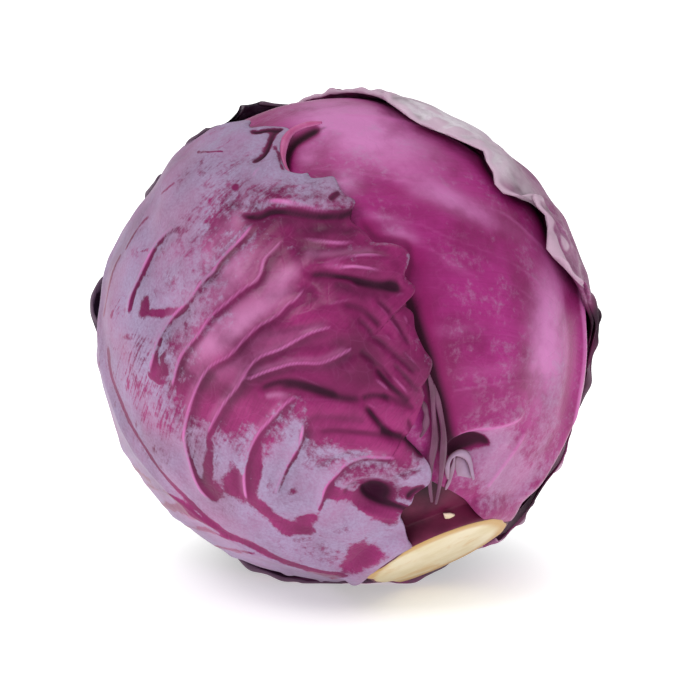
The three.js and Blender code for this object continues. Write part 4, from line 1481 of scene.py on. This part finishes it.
def leaf_material(name, wax_cover, wax_softness, streaks, roughness):
    """A cabbage leaf: flesh under a patchy wax bloom, with light veins, painted highlights on its
    crests and painted shade in its creases.
    """
    colours = {part: srgb(*colour) for part, colour in LEAF_COLOURS[name].items()}
    m = Material(name, roughness, LEAF_SPECULAR)
    flow = m.noise(1.0, 5, where=m.chart(3.2, 0.7))
    wax = leaf_wax(m, flow, wax_cover, wax_softness, streaks)
    crease_shading = m.attribute("crease_shade")
    tint = m.mix(m.spread(m.noise(TINT_SCALE, 3), 0.45, 0.75), colours["wax"], colours["pink_wax"])
    colour = m.mix(wax, leaf_flesh(m, colours, flow), tint)
    vein = m.math("MULTIPLY", m.attribute("vein"), m.spread(wax, 0, wax_cover, 1, 0.62))
    colour = m.mix(m.spread(vein, 0.45, 1.1, 0, 0.8), colour, colours["vein"])
    # Painted highlights along the crests of ridges and folds, in the vein colour
    colour = m.mix(m.spread(m.attribute("crest"), 0.15, 0.6, 0, 0.8), colour, colours["vein"])
    # Painted shade in the creases, nearly black where deepest
    colour = m.mix(m.spread(crease_shading, 0.2, 0.8, 0, 0.95), colour, colours["shade_colour"])
    normal = m.bump(m.noise(SPECKLE_SCALE, 6), 0.2, 0.0005)
    pores = m.spread(m.cells(PORE_SCALE, m.coordinates), 0.0, 0.12)
    normal = m.bump(pores, 0.1, 0.0004, normal)
    normal = m.bump(wax, 0.15, 0.0003, normal)
    dullness = m.total(m.spread(wax, 0, wax_cover, roughness, roughness + 0.16), (crease_shading, 0.5))
    return m.finish(colour, dullness, normal)


def inner_material():
    m = Material("maroon_inner_leaf", 0.45, INNER_SPECULAR)
    colour = m.mix(m.spread(m.noise(60, 4), 0.3, 0.7), srgb(70, 14, 40), srgb(112, 34, 68))
    # Painted shadow under the seam
    colour = m.mix(m.spread(m.attribute("crease_shade"), 0.05, 0.8, 0, 0.9), colour, srgb(30, 6, 22))
    return m.finish(colour, normal=m.bump(m.noise(300, 5), 0.2, 0.0006))


def stem_material():
    """The pale cut face, golden in places, with a browned rim."""
    m = Material("cut_stem_flesh", 0.5)
    flesh = m.mix(m.spread(m.noise(70, 5), 0.35, 0.7), srgb(222, 210, 180), srgb(208, 192, 150))
    stain = m.spread(m.noise(52, 5, distortion=1.2), 0.54, 0.7, 0, 0.6)
    flesh = m.mix(stain, flesh, srgb(202, 160, 92))
    ragged = m.math("ADD", m.attribute("from_middle"), m.math("MULTIPLY", m.noise(120, 4), 0.12))
    flesh = m.mix(m.spread(ragged, 0.88, 1.04, 0, 0.85), flesh, srgb(186, 142, 74))
    colour = m.mix(m.attribute("depth"), flesh, srgb(150, 104, 58))
    return m.finish(colour, normal=m.bump(m.noise(500, 5), 0.2, 0.0005))


def ribbon(name, path, half_width, thickness, radius, arch):
    """A folded strip laid along a traced path: arched across, with thin edges."""
    centre = along_curve(smooth_curve(path), np.linspace(0, 1, RIBBON_LENGTH_STEPS))
    directions = pixel_directions(centre, radius)
    spine = directions * radius
    tangents = np.gradient(spine, axis=0)
    tangents /= np.linalg.norm(tangents, axis=1, keepdims=True)
    sideways = np.cross(tangents, directions)
    section = np.linspace(0, 2 * math.pi, RIBBON_SECTION_STEPS, endpoint=False)
    across = np.cos(section)
    up = thickness / 2 * np.sin(section) + arch * (1 - across ** 2)
    taper = np.sqrt(np.sin(np.linspace(RIBBON_END, math.pi - RIBBON_END, len(spine))))
    wobble = 1 + RIBBON_WOBBLE * np.sin(np.linspace(0, RIBBON_WOBBLE_TURN, len(spine)))
    points = []
    for place, side, out, share, wave in zip(spine, sideways, directions, taper, wobble):
        aside = np.outer(across * half_width * share * wave, side)
        points.extend(place + aside + np.outer(up * share, out))
    points = swell(np.array(points))
    count = len(section)
    index = np.arange(len(points)).reshape(-1, count)
    wrapped = np.hstack([index, index[:, :1]])
    first = np.array([index[0]])
    last = np.array([index[-1][::-1]])
    edge = np.tile(np.abs(across) ** 4, len(spine))
    return build_mesh(name, points, [quads(wrapped)[:, ::-1], first, last], {"edge": edge})


def swell(points):
    """Moves points out with the swellings of the head."""
    length = np.linalg.norm(points, axis=1, keepdims=True)
    return points * (1 + swelling(points / length)[:, None] / length)


def patch(name, outline, radius, bulge, thickness):
    """A small closed scrap with a traced outline, bulging in the middle."""
    edge = smooth_curve([*outline, outline[0]], PATCH_POINTS_PER_SPAN)[:-1]
    middle = edge.mean(0)
    top, under = [], []
    for share in PATCH_RINGS:
        pixels = middle + (edge - middle) * share
        height = radius + bulge * (1 - share ** 2)
        top.extend(pixel_directions(pixels, radius) * (height + thickness / 2 * (share < 1)))
        under.extend(pixel_directions(pixels, radius) * (height - thickness / 2))
    crown = pixel_directions([middle], radius)[0]
    points = np.array([
        *top, *under[len(edge):], crown * (radius + bulge + thickness / 2),
        crown * (radius + bulge - thickness / 2),
    ])
    count = len(edge)
    rings = len(PATCH_RINGS)
    upper = np.arange(count * rings).reshape(rings, count)
    lower = np.vstack([upper[:1], upper[:-1] + count * rings])
    peak, foot = len(points) - 2, len(points) - 1
    upper_quads = quads(np.hstack([upper, upper[:, :1]]))
    lower_quads = quads(np.hstack([lower, lower[:, :1]]))[:, ::-1]
    top_fan = np.array([(upper[-1, k], upper[-1, (k + 1) % count], peak) for k in range(count)])
    low_fan = np.array([(lower[-1, (k + 1) % count], lower[-1, k], foot) for k in range(count)])
    from_middle = np.concatenate([np.repeat(PATCH_RINGS, count), np.repeat(PATCH_RINGS[1:], count)])
    edge_share = np.append(from_middle, [0, 0]) ** 6
    faces = [upper_quads, lower_quads, top_fan, low_fan]
    return build_mesh(name, swell(points), faces, {"edge": edge_share})


def scrap_material(name, middle, edge):
    """A small folded scrap of leaf with lighter or browner edges."""
    m = Material(name, 0.42)
    colour = m.mix(m.spread(m.noise(160, 5), 0.3, 0.7, 0, 0.6), middle, edge)
    colour = m.mix(m.spread(m.attribute("edge"), 0.2, 0.9), colour, edge)
    return m.finish(colour, normal=m.bump(m.noise(SPECKLE_SCALE, 5), 0.2, 0.0005))


def dress(piece, material, slot, *nodes):
    """Gives a piece its material, hangs it from the root and hides the solids that it stands for.
    """
    piece.data.materials.append(material)
    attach(piece, "root")
    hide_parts(*nodes)


def make_floor():
    """A white floor that glows away from the head, so that only a soft contact shadow shows."""
    mesh = bpy.data.meshes.new("floor")
    half = FLOOR_HALF
    corners = [(-half, -half, 0), (half, -half, 0), (half, half, 0), (-half, half, 0)]
    mesh.from_pydata(corners, [], [(0, 1, 2, 3)])
    floor = bpy.data.objects.new("floor", mesh)
    bpy.context.scene.collection.objects.link(floor)
    m = Material("white_floor", 0.8, specular=0.0)
    m.shader.inputs["Base Color"].default_value = (FLOOR_GREY, FLOOR_GREY, FLOOR_GREY, 1)
    m.shader.inputs["Emission Color"].default_value = (1, 1, 1, 1)
    distance = m.tree.nodes.new("ShaderNodeVectorMath")
    distance.operation = "LENGTH"
    m.link(m.coordinates, distance.inputs[0])
    glow = m.spread(distance.outputs["Value"], *FLOOR_GLOW)
    m.link(glow, m.shader.inputs["Emission Strength"])
    mesh.materials.append(m.material)


def add_light(name, place, size, watts):
    """A round lamp aimed at the middle of the head."""
    data = bpy.data.lights.new(name, "AREA")
    data.shape = "DISK"
    data.size = size
    data.energy = watts
    lamp = bpy.data.objects.new(name, data)
    lamp.location = place
    lamp.rotation_mode = "QUATERNION"
    aim = Vector((0, 0, CENTRE_HEIGHT * MM)) - Vector(place)
    lamp.rotation_quaternion = aim.to_track_quat("-Z", "Y")
    bpy.context.scene.collection.objects.link(lamp)


def set_up_studio():
    scene = bpy.context.scene
    scene.view_settings.view_transform = "Standard"
    world = bpy.data.worlds.new("studio")
    scene.world = world
    world.use_nodes = True
    background = world.node_tree.nodes["Background"]
    background.inputs["Color"].default_value = (1, 1, 1, 1)
    background.inputs["Strength"].default_value = WORLD_STRENGTH
    for light in LIGHTS:
        add_light(*light)


def set_up_camera():
    data = bpy.data.cameras.new("camera")
    data.lens = CAMERA_LENS
    data.sensor_width = CAMERA_SENSOR
    data.clip_start, data.clip_end = CAMERA_CLIP
    camera = bpy.data.objects.new("camera", data)
    place = (CAMERA_PLACE + [0, 0, CENTRE_HEIGHT]) * MM
    axes = np.stack([VIEW_RIGHT, VIEW_UP, TO_VIEWER], axis=1)
    camera.matrix_world = Matrix.Translation(place) @ Matrix(axes.tolist()).to_4x4()
    bpy.context.scene.collection.objects.link(camera)
    bpy.context.scene.camera = camera


left_material = leaf_material(
    "waxy_leaf", wax_cover=0.84, wax_softness=0.3, streaks=1.6, roughness=0.34,
)
right_material = leaf_material(
    "magenta_leaf", wax_cover=0.85, wax_softness=0.4, streaks=0.8, roughness=0.36,
)
pale_material = leaf_material(
    "pale_leaf", wax_cover=0.8, wax_softness=0.4, streaks=1.5, roughness=0.42,
)
dark_material = leaf_material(
    "dark_leaf", wax_cover=0.6, wax_softness=0.4, streaks=1.5, roughness=0.45,
)
fold_material = scrap_material("folded_edge", srgb(84, 26, 62), srgb(124, 62, 102))
roll_material = scrap_material("rolled_edge", srgb(176, 66, 124), srgb(196, 104, 160))
curl_material = scrap_material("curled_scrap", srgb(158, 126, 158), srgb(128, 82, 100))
cream_material = scrap_material("cream_chip", srgb(232, 214, 180), srgb(222, 190, 176))

dress(make_stem(), stem_material(), "cut_stem", "stem")
dress(make_heart(), inner_material(), "inner_leaf", "heart_leaves")
dress(make_right_leaf(), right_material, "magenta_leaf", "right_leaf")
dress(make_left_leaf(), left_material, "waxy_leaf", "left_leaf")
pale_piece = make_back_leaf(
    back_right_leaf, seed=41, bloom=0.35, wrinkle=0.7, ovals=PALE_LEAF_OVALS,
)
dress(pale_piece, pale_material, "pale_leaf", "back_right_leaf")
dark_piece = make_back_leaf(
    back_left_leaf, seed=51, bloom=0.35, wrinkle=0.3, ovals=DARK_LEAF_OVALS,
)
dress(dark_piece, dark_material, "dark_leaf", "back_left_leaf")

for number, path in enumerate(SEAM_STRIPS, 1):
    strip = ribbon(
        f"seam_strip_{number}", path, half_width=1.15, thickness=0.5, radius=80.2, arch=0.6,
    )
    dress(strip, fold_material, "waxy_leaf")
roll = ribbon(
    "rolled_margin", ROLLED_MARGIN, half_width=1.5, thickness=0.9, radius=80.4, arch=1.1,
)
dress(roll, roll_material, "magenta_leaf")
curl_rim = ribbon("curl_rim", CURL_RIM, half_width=1.25, thickness=0.6, radius=79.2, arch=0.7)
dress(curl_rim, curl_material, "magenta_leaf")
curl = patch("curl_scrap", CURL_SCRAP, radius=77.6, bulge=0.9, thickness=0.6)
dress(curl, curl_material, "magenta_leaf")
curl_strip = ribbon("curl_strip", CURL_STRIP, half_width=0.9, thickness=0.4, radius=78.4, arch=0.4)
dress(curl_strip, curl_material, "magenta_leaf")
chip = patch("cream_chip", CREAM_CHIP, radius=77.4, bulge=0.5, thickness=0.6)
dress(chip, cream_material, "cut_stem")

make_floor()
set_up_studio()
set_up_camera()
